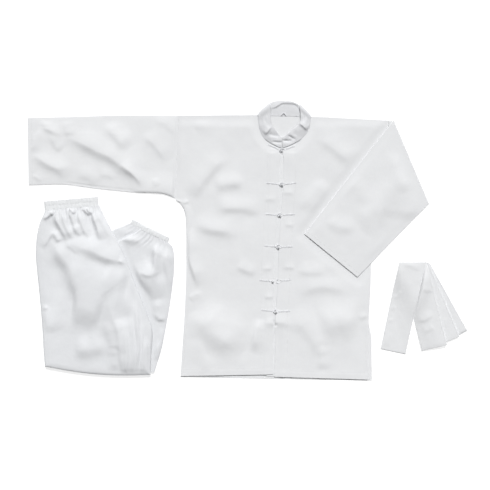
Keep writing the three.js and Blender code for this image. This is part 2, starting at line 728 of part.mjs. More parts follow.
// Rows from the knee to the ankle.
const LOWER_LEFT_ROWS = [
  { outer: [-66, -478], inner: [240, -502] },
  { outer: [-33, -365], inner: [262, -430] },
  { outer: [10, -264], inner: [284, -314] },
  { outer: [54, -183], inner: [296, -225] },
  { outer: [97, -141], inner: [298, -182] },
  { outer: [140, -121], inner: [297, -156] },
  { outer: [180, -101], inner: [293, -138] },
  ankleSeam(ANKLE_LEFT),
];
const LOWER_RIGHT_ROWS = [
  { outer: [-69, -476], inner: [236, -500] },
  { outer: [-37, -365], inner: [252, -430] },
  { outer: [2, -264], inner: [268, -314] },
  { outer: [42, -177], inner: [276, -225] },
  { outer: [83, -122], inner: [276, -172] },
  { outer: [122, -89], inner: [270, -142] },
  { outer: [150, -78], inner: [264, -124] },
  ankleSeam(ANKLE_RIGHT),
];

const THIGH_FOLDS = [
  { crest: [[-47, -70], [-38, -130], [-12, -190], [20, -255], [38, -300]], width: 20, height: 8 },
  { crest: [[-12, -120], [43, -140], [97, -158], [144, -180]], width: 19, height: 7 },
  { crest: [[0, -315], [30, -366], [97, -380]], width: 20, height: 5 },
  { crest: [[89, -193], [116, -255], [134, -340], [138, -420]], width: 20, height: 6 },
  { crest: [[59, -38], [72, -66], [86, -100], [92, -140]], width: 13, height: 7 },
  { crest: [[18, -38], [22, -70], [34, -110]], width: 12, height: 6 },
  { crest: [[-20, -38], [-12, -70], [4, -100]], width: 12, height: 6 },
  { crest: [[-50, -42], [-56, -80], [-76, -130]], width: 12, height: 5 },
  { crest: [[172, -350], [170, -420], [172, -490]], width: 11, height: 4 },
  { crest: [[205, -380], [202, -440], [206, -495]], width: 11, height: 4 },
];
const LOWER_LEG_FOLDS = [
  { crest: [[232, -100], [232, -150], [222, -215]], width: 13, height: 9 },
  { crest: [[262, -116], [262, -160], [256, -215]], width: 12, height: 7 },
  { crest: [[180, -112], [200, -140], [214, -180]], width: 14, height: 7 },
  { crest: [[282, -132], [285, -180], [280, -240]], width: 10, height: 4 },
  { crest: [[190, -238], [230, -240], [262, -280]], width: 18, height: 4 },
  { crest: [[240, -330], [246, -390], [240, -450]], width: 14, height: 4 },
];

const lowerRightOutline = outlineOf(LOWER_RIGHT_ROWS, "outer", "inner");
const lowerLeftOutline = outlineOf(LOWER_LEFT_ROWS, "outer", "inner");
const thighOutline = outlineOf(THIGH_ROWS, "outer", "inner");
const LEG_AIR = 1.4; // the air left in a leg that other layers press down
const LEG_HEIGHT = 2 * WALL + GAP + LEG_AIR;
const BAND_PITCH = 2.4; // from one layer of a gathered band to the next
const BAND_WAVE = 1.8; // the height of its gathers
const ANKLE_HEIGHT = BAND_PITCH + BAND_WAVE + WALL;
const UPPER_ANKLE_LIFT = ANKLE_HEIGHT + 2 * GAP;

// The lower leg that lies on the other one, from the floor up to its underside.
const onLowerRight = covers(lowerRightOutline, 6, 26);
const fromAnkle = ({ outer, down }, x, y) => (x - outer[0]) * down.x + (y - outer[1]) * down.y;
const upperLegBase = (x, y) =>
  mix(
    UPPER_ANKLE_LIFT,
    (LEG_HEIGHT + GAP) * onLowerRight(x, y),
    smooth(fromAnkle(ankleSeam(ANKLE_LEFT), x, y) / 48),
  );

// A lower leg: a flat tube from the knee to the ankle, flat where other layers press it.
function lowerLeg(rows, base, pressed) {
  const folds = foldHeight(LOWER_LEG_FOLDS);
  const seam = rows[rows.length - 1];
  const puff = 6; // the cloth stands up towards the gathered ankle
  const heights = (x, y, edge) => {
    const nearAnkle = 1 - smooth(fromAnkle(seam, x, y) / 30);
    const free = (1 - pressed(x, y)) * (1 - nearAnkle);
    const loose = LEG_AIR + free * (puff * smooth((y + 260) / 150) + folds(x, y));
    const air = mix(loose, ANKLE_HEIGHT - 2 * WALL - GAP, nearAnkle * (1 - pressed(x, y)));
    return { base: base(x, y), air: edge * air };
  };
  return flatTube(rowsToSections(rows, "outer", "inner", 32, heights), 8);
}

const overLegs = [lowerRightOutline, lowerLeftOutline].map((outline) => covers(outline, 30, 44));
const onLegs = (x, y) => (LEG_HEIGHT + GAP) * (overLegs[0](x, y) + overLegs[1](x, y));
const HIDDEN_LAYERS = 3;
const HIDDEN_HEIGHT = HIDDEN_LAYERS * 1.7;
const WAIST_STACK = 2.2; // how much the gathers thicken the hidden layers at the waist
const waistStack = (y) => smooth((y + 130) / 90) * WAIST_STACK;
const EDGE_ZONE = 14; // the strip along an edge where grids may differ
const LEDGE = 1.6; // how far one hidden layer steps back from the one under it

// Grid points over the folded thigh. The lines near its edges lie at the given distances
// from them, and the others are the same in every piece of the stack.
function thighGrid(edgeLines, foldLines) {
  const outer = through(THIGH_ROWS.map((row) => row.outer));
  const inner = through(THIGH_ROWS.map((row) => row.inner));
  const spans = THIGH_ROWS.length - 1;
  const lastSpan = outer(1).distanceTo(outer(1 - 1 / spans));
  const byDistance = (d) => 1 - d / lastSpan / spans;
  const rows = [
    ...evenly(THIGH_ROWS, "outer", 27).filter((v) => v < byDistance(EDGE_ZONE + 6)),
    ...[EDGE_ZONE, ...foldLines].map(byDistance),
  ];
  return rows.map((v) => {
    const p = outer(v);
    const q = inner(v);
    const width = p.distanceTo(q);
    const zone = EDGE_ZONE / width;
    const near = edgeLines.map((d) => d / width);
    const shared = steps(9).map((t) => mix(zone, 1 - zone, t));
    const lines = [...near, ...shared, ...near.map((t) => 1 - t).reverse()];
    const fromFold = (1 - v) * spans * lastSpan;
    return lines.map((t) => {
      const point = p.clone().lerp(q, t);
      point.y -= KNEE_SAG * Math.sin(Math.PI * t) * v ** 4;
      return { point, edge: Math.min(t, 1 - t) * width, fromFold };
    });
  });
}

// The layers of the seat and thigh that the top one hides, stepped back at each edge.
function hiddenLayers() {
  const inset = 4;
  const ledges = [0, LEDGE, LEDGE + 0.2, 2 * LEDGE, 2 * LEDGE + 0.2].map((d) => inset + d);
  const level = (d) => (d < inset + LEDGE + 0.1 ? 1 : d < inset + 2 * LEDGE + 0.1 ? 2 : 3);
  const rows = thighGrid(ledges, [...ledges].reverse());
  const skin = (top) =>
    rows.map((row) =>
      row.map(({ point, edge, fromFold }) => {
        const layers = Math.min(level(edge), level(fromFold)) / HIDDEN_LAYERS;
        const stack = top ? layers * (HIDDEN_HEIGHT + waistStack(point.y)) : 0;
        return new THREE.Vector3(point.x, point.y, onLegs(point.x, point.y) + stack);
      }),
    );
  return skins(skin(true), skin(false));
}

// The top layer of the thigh, which turns down round the stack at its edges.
function thigh() {
  const folds = foldHeight(THIGH_FOLDS);
  const roll = 9;
  const gathers = (x, y) => {
    const near = smooth((y + 110) / 70);
    return near * 0.9 * (1 + Math.sin((2 * Math.PI * (x + 0.35 * y) * 8) / WAIST_QUARTER));
  };
  const middle = thighGrid([0, 0.8, 3, 8], [9, 4, 1.2, 0]).map((row) =>
    row.map(({ point, edge, fromFold }) => {
      const { x, y } = point;
      const turned = (d) => Math.sqrt(1 - (1 - clamp01(d / roll)) ** 2);
      const full = Math.min(turned(edge), turned(fromFold));
      const air = 0.5 + smooth(Math.min(edge, fromFold) / 16) * (0.7 + folds(x, y) + gathers(x, y));
      const low = onLegs(x, y) + WALL / 2 + GAP;
      point.z = low + full * (HIDDEN_HEIGHT + waistStack(y) + air);
      return point;
    }),
  );
  return wallAbout(middle);
}

// A gathered elastic band laid flat: its section is one closed loop of cloth that lies in
// layers, of which the top one shows its gathers. Layers join in bends at the two sides.
function gatheredBand(width, height, gathers, layers) {
  const end = width / 2 - 5;
  const level = (layer) => WALL / 2 + layer * BAND_PITCH;
  const bend = (x, side, from, to) =>
    [60, 20, -20, -60].map((angle) => {
      const radius = (level(from) - level(to)) / 2;
      const across = Math.min(3.6, radius * 1.3) * Math.cos(degrees(angle));
      return [x + side * across, level(to) + radius * (1 + Math.sin(degrees(angle)))];
    });
  const top = layers - 1;
  const line = steps(gathers * 4).map((t) => {
    const fade = smooth(Math.min(t, 1 - t) / 0.08);
    const wave = (fade * BAND_WAVE * (1 - Math.cos(2 * Math.PI * gathers * t))) / 2;
    return [mix(-end, end, t), level(top) + wave];
  });
  if (layers === 2) {
    line.push(...bend(end, 1, top, 0), [end, level(0)], [-end, level(0)]);
  } else {
    // Folded once more: the inner layers turn inside the outer bend on the left.
    const nested = -end + 3;
    line.push(...bend(end, 1, 3, 2), [end, level(2)], [nested, level(2)]);
    line.push(...bend(nested, -1, 2, 1), [nested, level(1)], [end, level(1)]);
    line.push(...bend(end, 1, 1, 0), [end, level(0)], [-end, level(0)]);
  }
  line.push(...bend(-end, -1, top, 0).reverse());
  const offset = (side) =>
    line.map(([x, z], i) => {
      const [px, pz] = line[(i + line.length - 1) % line.length];
      const [qx, qz] = line[(i + 1) % line.length];
      const out = new THREE.Vector2(pz - qz, qx - px).normalize().multiplyScalar((side * WALL) / 2);
      return new THREE.Vector2(x + out.x, z + out.y);
    });
  const rings = (side) =>
    [0, -height].map((y) => offset(side).map((p) => new THREE.Vector3(p.x, y, p.y)));
  return skins(rings(1), rings(-1), true);
}

// BELT: one strip folded to and fro into a fan. Rows from its top end down the stack: which
// way the strip runs from the top fold, as an angle from straight down, and its length.
const BELT_STRIPS = [
  { angle: -12.3, length: 264 },
  { angle: 14, length: 253 },
  { angle: 14, length: 253 },
  { angle: 23, length: 244 },
  { angle: 23, length: 244 },
  { angle: 29, length: 240 },
  { angle: 29, length: 232 },
];
const BELT_FAN_CENTRE = [3, 1];
const BELT_FAN_SLIDE = 2.2; // how far each pair of strips slides along the top fold

function belt() {
  const half = BELT_WIDTH / 2;
  const strips = BELT_STRIPS.map(({ angle, length }, i) => {
    const pair = Math.ceil(i / 2);
    const down = new THREE.Vector2(Math.sin(degrees(angle)), -Math.cos(degrees(angle)));
    const side = new THREE.Vector2(-down.y, down.x);
    const slide = BELT_FAN_SLIDE * Math.max(0, pair - 1);
    const head = new THREE.Vector2(BELT_FAN_CENTRE[0] + 2 * slide, BELT_FAN_CENTRE[1] - slide);
    const at = (t, w) => head.clone().addScaledVector(down, t * length).addScaledVector(side, w * half);
    const outline = [at(0, -1), at(0, 1), at(1, 1), at(1, -1)];
    return { at, down, outline, covers: covers(outline, 8, 34) };
  });
  // Strip i lies on all the strips after it.
  const height = (i, x, y) =>
    BELT_PITCH * strips.slice(i + 1).reduce((sum, strip) => sum + strip.covers(x, y), 0);
  const across = steps(4).map((w) => mix(-1, 1, w));
  const run = strips.map((strip, i) => {
    // The strip starts at its end or at the fold before it. Strips at the top fold share a
    // crease, which is level with the fan, so their first line runs along it.
    const line = (t) =>
      across.map((w) => {
        const crease = (1 - t) ** 2 * Math.tan(degrees(BELT_STRIPS[i].angle)) * half * w;
        const shift = strip.down.clone().multiplyScalar(crease);
        const { x, y } = strip.at(t, w).add(shift);
        return new THREE.Vector3(x, y, height(i, x, y) + BELT_WALL / 2);
      });
    const lines = steps(7).map(line);
    return i % 2 === 0 ? lines.reverse() : lines;
  });
  // The bends join the last line of one strip to the first of the next.
  const middle = [];
  run.forEach((lines, i) => {
    middle.push(...lines);
    if (i + 1 === run.length) return;
    const next = run[i + 1][0];
    const [before, end] = lines.slice(-2).map((points) => points[2]);
    const out = end.clone().sub(before).setZ(0).normalize();
    [-60, -20, 20, 60].forEach((angle) => {
      middle.push(
        lines[lines.length - 1].map((p, c) => {
          const q = next[c];
          const radius = Math.max(0.5, Math.abs(p.z - q.z) / 2);
          const t = 0.5 + Math.sin(degrees(angle)) / 2;
          return p.clone().lerp(q, t).addScaledVector(out, radius * Math.cos(degrees(angle)));
        }),
      );
    });
  });
  return wallAbout(middle, BELT_WALL);
}

// THE SET
const uniform = new THREE.Group();

const jacket = new THREE.Group();
jacket.position.set(...JACKET_AT, 0);
const frontRight = piece("jacket_front_right", jacketFront(FRONT_RIGHT_ROWS), WHITE_COTTON);
const frontLeft = piece("jacket_front_left", jacketFront(FRONT_LEFT_ROWS), WHITE_COTTON);
jacket.add(
  piece("jacket_back", jacketBack(), WHITE_COTTON),
  frontRight,
  frontLeft,
  piece("jacket_underlap", underlap(), WHITE_COTTON),
  piece("jacket_sleeve_right", sleeveRight(), WHITE_COTTON),
  piece("jacket_sleeve_left", sleeveLeft(), WHITE_COTTON),
  piece("jacket_collar", collar(), WHITE_COTTON),
  piece("jacket_hanging_loop", hangingLoop(), WHITE_COTTON),
);

const highest = highestOf([frontRight.geometry, frontLeft.geometry]);
FROGS.forEach((frog, i) => {
  jacket.add(
    piece(`frog_${i + 1}_knot`, frogKnot(frog, highest), WHITE_CORD),
    piece(`frog_${i + 1}_loop`, frogLoop(frog, highest), WHITE_CORD),
  );
});

const trousers = new THREE.Group();
trousers.position.set(...TROUSERS_AT, 0);
const floor = () => 0;
const underThigh = covers(thighOutline, 26, 30);
const underUpperLeg = covers(lowerLeftOutline, 26, 30);
const underEither = (x, y) => Math.max(underThigh(x, y), underUpperLeg(x, y));
const waistTurn = Math.atan2(14, WAIST_QUARTER);
const waistband = gatheredBand(WAIST_QUARTER, WAISTBAND_HEIGHT, WAIST_GATHERS, 4);
const ankle = ({ from, to }, lift) =>
  gatheredBand(CUFF_QUARTER, ANKLE_BAND_HEIGHT, ANKLE_GATHERS, 2)
    .rotateZ(Math.atan2(to[1] - from[1], to[0] - from[0]))
    .translate((from[0] + to[0]) / 2, (from[1] + to[1]) / 2, lift);
trousers.add(
  piece("trousers_lower_leg_right", lowerLeg(LOWER_RIGHT_ROWS, floor, underEither), WHITE_COTTON),
  piece("trousers_lower_leg_left", lowerLeg(LOWER_LEFT_ROWS, upperLegBase, underThigh), WHITE_COTTON),
  piece("trousers_folded_layers", hiddenLayers(), WHITE_COTTON),
  piece("trousers_thigh", thigh(), WHITE_COTTON),
  piece("trousers_waistband", waistband.rotateZ(waistTurn), WHITE_COTTON),
  piece("trousers_ankle_right", ankle(ANKLE_RIGHT, 0), WHITE_COTTON),
  piece("trousers_ankle_left", ankle(ANKLE_LEFT, UPPER_ANKLE_LIFT), WHITE_COTTON),
);

const beltGroup = new THREE.Group();
beltGroup.position.set(...BELT_AT, 0);
beltGroup.add(piece("belt", belt(), WHITE_COTTON));

uniform.add(jacket, trousers, beltGroup);

// The origin is the middle of the layout, on the surface that it lies on.
const box = new THREE.Box3().setFromObject(uniform, true);
const centre = box.getCenter(new THREE.Vector3());
uniform.position.set(-centre.x, -centre.y, -box.min.z);

export default uniform;
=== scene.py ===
"""A tai chi uniform laid out flat: jacket, folded trousers and a fan-folded belt, all in white cotton.

Each garment is worked out in millimetres in its own frame, from the same tables as the solids
that its cloth lies on, and moved into the shared frame, in metres, when its meshes are made.
"""

import logging
import math
from dataclasses import dataclass, field
from enum import Enum
from typing import Callable, Sequence

import bpy
import numpy as np
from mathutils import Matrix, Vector
from mathutils.bvhtree import BVHTree


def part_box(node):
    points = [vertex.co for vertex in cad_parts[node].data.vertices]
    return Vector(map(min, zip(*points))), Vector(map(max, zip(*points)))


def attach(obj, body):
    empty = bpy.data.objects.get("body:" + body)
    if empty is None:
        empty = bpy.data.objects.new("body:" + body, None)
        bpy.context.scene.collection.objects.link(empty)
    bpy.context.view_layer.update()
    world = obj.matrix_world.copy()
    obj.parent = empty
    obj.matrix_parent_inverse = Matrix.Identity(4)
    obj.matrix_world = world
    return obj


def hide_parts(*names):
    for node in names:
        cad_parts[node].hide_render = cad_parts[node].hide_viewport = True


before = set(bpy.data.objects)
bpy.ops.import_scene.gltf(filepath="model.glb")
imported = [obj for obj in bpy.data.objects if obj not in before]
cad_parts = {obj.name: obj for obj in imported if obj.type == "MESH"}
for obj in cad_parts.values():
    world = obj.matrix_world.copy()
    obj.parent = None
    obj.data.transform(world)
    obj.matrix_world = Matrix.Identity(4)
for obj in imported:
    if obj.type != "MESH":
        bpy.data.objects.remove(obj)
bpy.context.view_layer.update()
LOG = logging.getLogger("uniform")

Array = np.ndarray
Material = bpy.types.Material
Node = bpy.types.Node
Piece = bpy.types.Object
Socket = bpy.types.NodeSocket
Tree = bpy.types.NodeTree
MM = 0.001

# Cloth, in mm
WALL = 1.2
GAP = 0.3
LAYER = WALL + GAP
TUBE = 2 * WALL + GAP  # a sleeve or leg that lies quite flat
CURVE_TENSION = 0.4
EDGE_LINES = (0.0, 0.25, 0.6, 1.2, 2.4)  # lines of points near a cloth's edge, which round it
FINE = 3.2  # spacing of points on cloth that shows
COARSE = 9.0  # spacing on cloth that other cloth hides
ROW_STEP = 4.0  # from one point of a row of stitches to the next
STITCHES_IN = 1.5  # how far a row of stitches lies inside the edge that it holds


def clamp01(t: Array) -> Array:
    """Keeps values between 0 and 1."""
    return np.clip(t, 0.0, 1.0)


def smooth(t: Array) -> Array:
    """A soft step from 0 at 0 to 1 at 1."""
    t = clamp01(t)
    return t * t * (3 - 2 * t)


def mix(a: Array, b: Array, t: Array) -> Array:
    """From a at 0 to b at 1."""
    return a + (b - a) * t


def rounded(t: Array) -> Array:
    """A quarter circle's height, from 0 at 0 to 1 at 1."""
    return np.sqrt(1 - (1 - clamp01(t)) ** 2)


def bump_at(distance: Array, width: float) -> Array:
    """A narrow rise round a distance of 0."""
    return np.exp(-((distance / width) ** 2))


def hermite(a: Array, b: Array, start: Array, end: Array, w: Array) -> Array:
    """The cubic from a to b at the share w of the way, with its directions at both ends."""
    return a + start * w + (3 * (b - a) - 2 * start - end) * w**2 + (2 * (a - b) + start + end) * w**3


def lengths_along(line: Array) -> Array:
    """How far along a line each of its points is."""
    return np.concatenate([[0.0], np.cumsum(np.linalg.norm(np.diff(line, axis=0), axis=1))])


def raised(xy: Array, z: Array) -> Array:
    """Points in the plane with their heights."""
    return np.concatenate([xy, z[..., None]], -1)


def half_wall(edge: Array, wall: float = WALL, least: float = 0.12) -> Array:
    """Half a wall's thickness, rounded off to a share of it at the cloth's edge."""
    return wall / 2 * mix(least, 1.0, rounded(edge / (wall / 2)))


class Curve:
    """A smooth curve through a table's points, even in its rows."""

    def __init__(self, points: Sequence[Sequence[float]]) -> None:
        """Keeps the points and one more past each end.

        Args:
            points: the table's points, all with as many coordinates.
        """
        p = np.array(points, float)
        self.count = len(p) - 1
        self.points = np.concatenate([2 * p[:1] - p[1:2], p, 2 * p[-1:] - p[-2:-1]])

    def __call__(self, t: Array) -> Array:
        """Follows the curve.

        Args:
            t: from 0 at the first row to 1 at the last.

        Returns:
            The points there.
        """
        s = clamp01(np.asarray(t, float)) * self.count
        i = np.minimum(s.astype(int), self.count - 1)
        x0, x1, x2, x3 = (self.points[i + k] for k in range(4))
        return hermite(x1, x2, CURVE_TENSION * (x2 - x0), CURVE_TENSION * (x3 - x1), (s - i)[..., None])


class EvenCurve:
    """A smooth curve through unevenly spaced points, followed by its length."""

    def __init__(self, points: Sequence[Sequence[float]]) -> None:
        """Works out the directions at the points.

        Args:
            points: rows of coordinates; the length counts all of them.
        """
        self.p = np.array(points, float)
        step = np.diff(self.p, axis=0)
        self.h = np.linalg.norm(step, axis=1)
        slope = step / self.h[:, None]
        before, after = self.h[:-1, None], self.h[1:, None]
        middle = (slope[1:] * before + slope[:-1] * after) / (before + after)
        self.m = np.concatenate([slope[:1], middle, slope[-1:]])
        self.at = lengths_along(self.p)
        self.length = self.at[-1]

    def __call__(self, s: Array) -> Array:
        """Follows the curve.

        Args:
            s: distances along it.

        Returns:
            The points there.
        """
        s = np.clip(np.asarray(s, float), 0, self.length)
        i = np.clip(np.searchsorted(self.at, s, side="right") - 1, 0, len(self.h) - 1)
        h = self.h[i][..., None]
        w = (s - self.at[i])[..., None] / h
        return hermite(self.p[i], self.p[i + 1], self.m[i] * h, self.m[i + 1] * h, w)


@dataclass
class Noise:
    """Smooth random unevenness, the same on each run."""

    seed: int
    cells: int = 64

    def __post_init__(self) -> None:
        """Draws the directions on a square lattice."""
        angle = np.random.default_rng(self.seed).uniform(0, 2 * math.pi, (self.cells, self.cells))
        self.gradient = np.stack([np.cos(angle), np.sin(angle)], -1)

    def __call__(self, xy: Array, scale: float) -> Array:
        """The unevenness at some points.

        Args:
            xy: the points.
            scale: about how wide its bumps are.

        Returns:
            Values of about -0.7 to 0.7.
        """
        p = xy / scale
        i = np.floor(p).astype(int)
        f = p - i
        u = f * f * f * (f * (f * 6 - 15) + 10)

        def corner(dx: int, dy: int) -> Array:
            """The part that one corner of the lattice gives."""
            g = self.gradient[(i[..., 0] + dx) % self.cells, (i[..., 1] + dy) % self.cells]
            return g[..., 0] * (f[..., 0] - dx) + g[..., 1] * (f[..., 1] - dy)

        low = mix(corner(0, 0), corner(1, 0), u[..., 0])
        high = mix(corner(0, 1), corner(1, 1), u[..., 0])
        return mix(low, high, u[..., 1])


@dataclass(frozen=True)
class Fold:
    """A crease in cloth. Its crest fades out at both ends; a trough's height is below 0."""

    crest: tuple[tuple[float, float], ...]
    height: float
    soft: float = 20.0  # half width of the flank on the left of the crest as it runs
    steep: float = 7.0  # half width of the flank on its right
    power: float = 2.0  # 2 for a round crest, and nearer to 1 for a sharp one

    points: int = 17
    fade: float = 0.32  # the share of its length over which each end fades

    def relief(self, xy: Array) -> Array:
        """The height that the fold adds.

        Args:
            xy: rows of x and y in mm.

        Returns:
            The heights in mm.
        """
        line = Curve(self.crest)(np.linspace(0, 1, self.points))
        start, along = line[:-1], np.diff(line, axis=0)
        offset = xy[:, None, :] - start[None]
        t = clamp01((offset * along).sum(-1) / (along**2).sum(-1))
        far = offset - t[..., None] * along
        distance = np.linalg.norm(far, axis=-1)
        nearest = distance.argmin(1)
        rows = np.arange(len(xy))
        d = distance[rows, nearest]
        out, run = far[rows, nearest], along[nearest]
        # 1 on the crest's left, -1 on its right, and between the two beyond its ends
        side = (run[:, 0] * out[:, 1] - run[:, 1] * out[:, 0]) / (np.linalg.norm(run, axis=1) * d + 1e-6)
        width = mix(self.steep, self.soft, smooth((1 + side) / 2))
        progress = (nearest + t[rows, nearest]) / (self.points - 1)
        fade = smooth(progress / self.fade) * smooth((1 - progress) / self.fade)
        return self.height * fade * np.exp(-((d / width) ** self.power))


def fold_relief(folds: Sequence[Fold], xy: Array, noise: Noise) -> Array:
    """The height of a table of folds over a grid of points, a little uneven as cloth is.

    Args:
        folds: the folds.
        xy: the grid's points in mm.
        noise: what bends the crests and varies their height.

    Returns:
        The heights in mm.
    """
    flat = xy.reshape(-1, 2)
    bent = flat + 3.5 * np.stack([noise(flat, 58.0), noise(flat + 911.0, 58.0)], -1)
    uneven = 1 + 0.25 * noise(flat + 377.0, 52.0)
    total = np.zeros(len(flat))
    for fold in folds:
        corners = np.array(fold.crest)
        reach = 4.5 * max(fold.soft, fold.steep)
        near = ((bent > corners.min(0) - reach) & (bent < corners.max(0) + reach)).all(1)
        if near.any():
            total[near] += fold.relief(bent[near]) * uneven[near]
    return total.reshape(xy.shape[:-1])


@dataclass(frozen=True)
class Crumple:
    """The small unevenness of worn and pressed cotton: heights in mm of waves of three sizes."""

    broad: float  # waves of 85 mm
    middle: float  # of 34 mm
    small: float  # of 13 mm

    def __call__(self, xy: Array, noise: Noise) -> Array:
        """The heights at the points."""
        broad, middle, small = noise(xy + 71.0, 85.0), noise(xy + 13.0, 34.0), noise(xy + 29.0, 13.0)
        return self.broad * broad + self.middle * middle + self.small * small


def outside(outline: Array, xy: Array) -> Array:
    """How far points lie outside a closed outline.

    Args:
        outline: the outline's corners.
        xy: the points.

    Returns:
        The distances, and 0 inside.
    """
    flat = xy.reshape(-1, 2)
    inside = np.zeros(len(flat), bool)
    nearest = np.full(len(flat), np.inf)
    for p, q in zip(outline, np.roll(outline, -1, axis=0)):
        crosses = (p[1] > flat[:, 1]) != (q[1] > flat[:, 1])
        if crosses.any():
            at = (q[0] - p[0]) * (flat[:, 1] - p[1]) / (q[1] - p[1] if q[1] != p[1] else 1e-9) + p[0]
            inside ^= crosses & (flat[:, 0] < at)
        along = q - p
        t = clamp01(((flat - p) @ along) / max(along @ along, 1e-9))
        nearest = np.minimum(nearest, np.linalg.norm(flat - p - t[:, None] * along, axis=1))
    return np.where(inside, 0.0, nearest).reshape(xy.shape[:-1])


def covers(outline: Sequence[Sequence[float]], margin: float, ramp: float) -> Callable[[Array], Array]:
    """How much of a lower layer's height cloth over it takes: 1 on it and for a margin round it.

    Args:
        outline: the lower layer's outline in mm.
        margin: how far out it still takes all of the height.
        ramp: how far the height takes to fall away.

    Returns:
        A function of points in mm.
    """
    corners = np.array(outline, float)
    return lambda xy: 1 - smooth((outside(corners, xy) - margin) / ramp)


def outline_of(left: Curve, right: Curve, count: int = 25) -> Array:
    """A closed outline up one edge and back down the other."""
    t = np.linspace(0, 1, count)
    return np.concatenate([left(t), right(t[::-1])])


def spread(length: float, spacing: float, lines: Sequence[float] = EDGE_LINES) -> Array:
    """Distances from 0 to length, close together at both ends and even between.

    Args:
        length: the last distance.
        spacing: the step between.
        lines: the distances near an end.

    Returns:
        The distances.
    """
    near = np.array(lines)
    inner = np.linspace(near[-1], length - near[-1], max(2, round((length - 2 * near[-1]) / spacing) + 1))
    return np.concatenate([near[:-1], inner, length - near[:-1][::-1]])


@dataclass
class Grid:
    """Points over a panel between two edge curves, with their distances from its edges in mm."""

    xy: Array
    left: Array
    right: Array
    start: Array
    end: Array

    @classmethod
    def between(
        cls, left: Curve, right: Curve, spacing: float, lines: Sequence[float] = EDGE_LINES
    ) -> "Grid":
        """Lays rows of points from the left curve to the right one.

        Args:
            left: one edge.
            right: the other, with rows that match.
            spacing: the distance from one point to the next.
            lines: distances of the lines near the edges.

        Returns:
            The grid.
        """
        t = np.linspace(0, 1, 801)
        travelled = lengths_along((left(t) + right(t)) / 2)
        s = spread(travelled[-1], spacing, lines)
        a, b = (curve(np.interp(s, travelled, t)) for curve in (left, right))
        width = np.linalg.norm(b - a, axis=1)
        d = across(width, spacing, lines)
        xy = a[:, None] + (b - a)[:, None] * (d / width[:, None])[..., None]
        start = np.broadcast_to(s[:, None], d.shape)
        return cls(xy, d, width[:, None] - d, start, travelled[-1] - start)

    @property
    def edge(self) -> Array:
        """The distance from the nearest edge."""
        return np.minimum(np.minimum(self.left, self.right), np.minimum(self.start, self.end))


def across(width: Array, spacing: float, lines: Sequence[float] = EDGE_LINES) -> Array:
    """Distances from one edge for the points of each row, with as many points in every row.

    Args:
        width: each row's length.
        spacing: the mean step.
        lines: the distances near an edge.

    Returns:
        Rows of distances.
    """
    near = np.array(lines)
    last = near[-1]
    share = np.linspace(0, 1, max(2, round((width.mean() - 2 * last) / spacing) + 1))
    inner = last + (width[:, None] - 2 * last) * share
    ends = np.broadcast_to(near[:-1], (len(width), len(near) - 1))
    return np.concatenate([ends, inner, width[:, None] - ends[:, ::-1]], axis=1)


def seam_line(distance: Array, at: float, along: Array, noise: Noise) -> Array:
    """The groove of a row of stitches and the puckers beside it.

    Args:
        distance: each point's distance from an edge.
        at: the row's distance from it.
        along: each point's place along the row.
        noise: what puckers the cloth.

    Returns:
        The heights in mm.
    """
    places = np.stack([along, np.full_like(along, at)], -1)
    pucker = noise(places, 9.0) * bump_at(distance - at, 7.0)
    return 0.55 * pucker - 0.4 * bump_at(distance - at, 2.0)


def turned_hem(distance: Array, depth: float, along: Array, noise: Noise) -> Array:
    """The step of a hem turned under by its depth, with its row of stitches."""
    step = 0.5 * (1 - smooth((distance - depth) / 2.5))
    return step + seam_line(distance, depth - STITCHES_IN, along, noise)


def show(name: str, data: bpy.types.ID) -> Piece:
    """Adds an object to the scene, at the origin.

    Args:
        name: its name.
        data: its mesh, camera or light.

    Returns:
        The object.
    """
    made = bpy.data.objects.new(name, data)
    bpy.context.scene.collection.objects.link(made)
    return made


def mesh_of(name: str, points: Array, faces: Array, uv: Array) -> Piece:
    """Makes a smooth mesh object in the scene, with its faces out.

    Args:
        name: the object's name.
        points: the vertices in metres.
        faces: the quads, as rows of four indices.
        uv: each vertex's place on the cloth, in metres.

    Returns:
        The object, which sits at the origin.
    """
    a, b, c, d = (points[faces[:, k]] for k in range(4))
    volume = (a * np.cross(b, c)).sum() + (a * np.cross(c, d)).sum()
    if volume < 0:
        faces = faces[:, ::-1]
    mesh = bpy.data.meshes.new(name)
    mesh.from_pydata(points.tolist(), [], faces.tolist())
    mesh.polygons.foreach_set("use_smooth", np.ones(len(mesh.polygons), bool))
    layer = mesh.uv_layers.new(name="cloth")
    layer.data.foreach_set("uv", uv[faces.ravel()].astype(np.float32).ravel())
    mesh.update()
    return show(name, mesh)


def shell(name: str, upper: Array, lower: Array, uv: Array, wrap: bool = False) -> Piece:
    """A closed wall of cloth from the rows of points of its two skins, with a rim round them.

    Args:
        name: the object's name.
        upper: rows of points in metres.
        lower: the same rows on the other skin.
        uv: the rows' places on the cloth, in metres.
        wrap: whether each row closes on itself, as a tube's does.

    Returns:
        The object.
    """
    rows, columns = upper.shape[:2]
    top = np.arange(rows * columns).reshape(rows, columns)
    if wrap:
        top = np.concatenate([top, top[:, :1]], axis=1)
    low = top + rows * columns
    quads = [
        (top[:-1, :-1], top[:-1, 1:], top[1:, 1:], top[1:, :-1]),
        (low[:-1, :-1], low[1:, :-1], low[1:, 1:], low[:-1, 1:]),
        (top[0, 1:], top[0, :-1], low[0, :-1], low[0, 1:]),
        (top[-1, :-1], top[-1, 1:], low[-1, 1:], low[-1, :-1]),
    ]
    if not wrap:
        quads += [
            (top[:-1, 0], top[1:, 0], low[1:, 0], low[:-1, 0]),
            (top[1:, -1], top[:-1, -1], low[:-1, -1], low[1:, -1]),
        ]
    faces = np.concatenate([np.stack([corner.ravel() for corner in quad], 1) for quad in quads])
    points = np.concatenate([upper.reshape(-1, 3), lower.reshape(-1, 3)])
    places = np.concatenate([uv.reshape(-1, 2)] * 2)
    return mesh_of(name, points, faces, places)


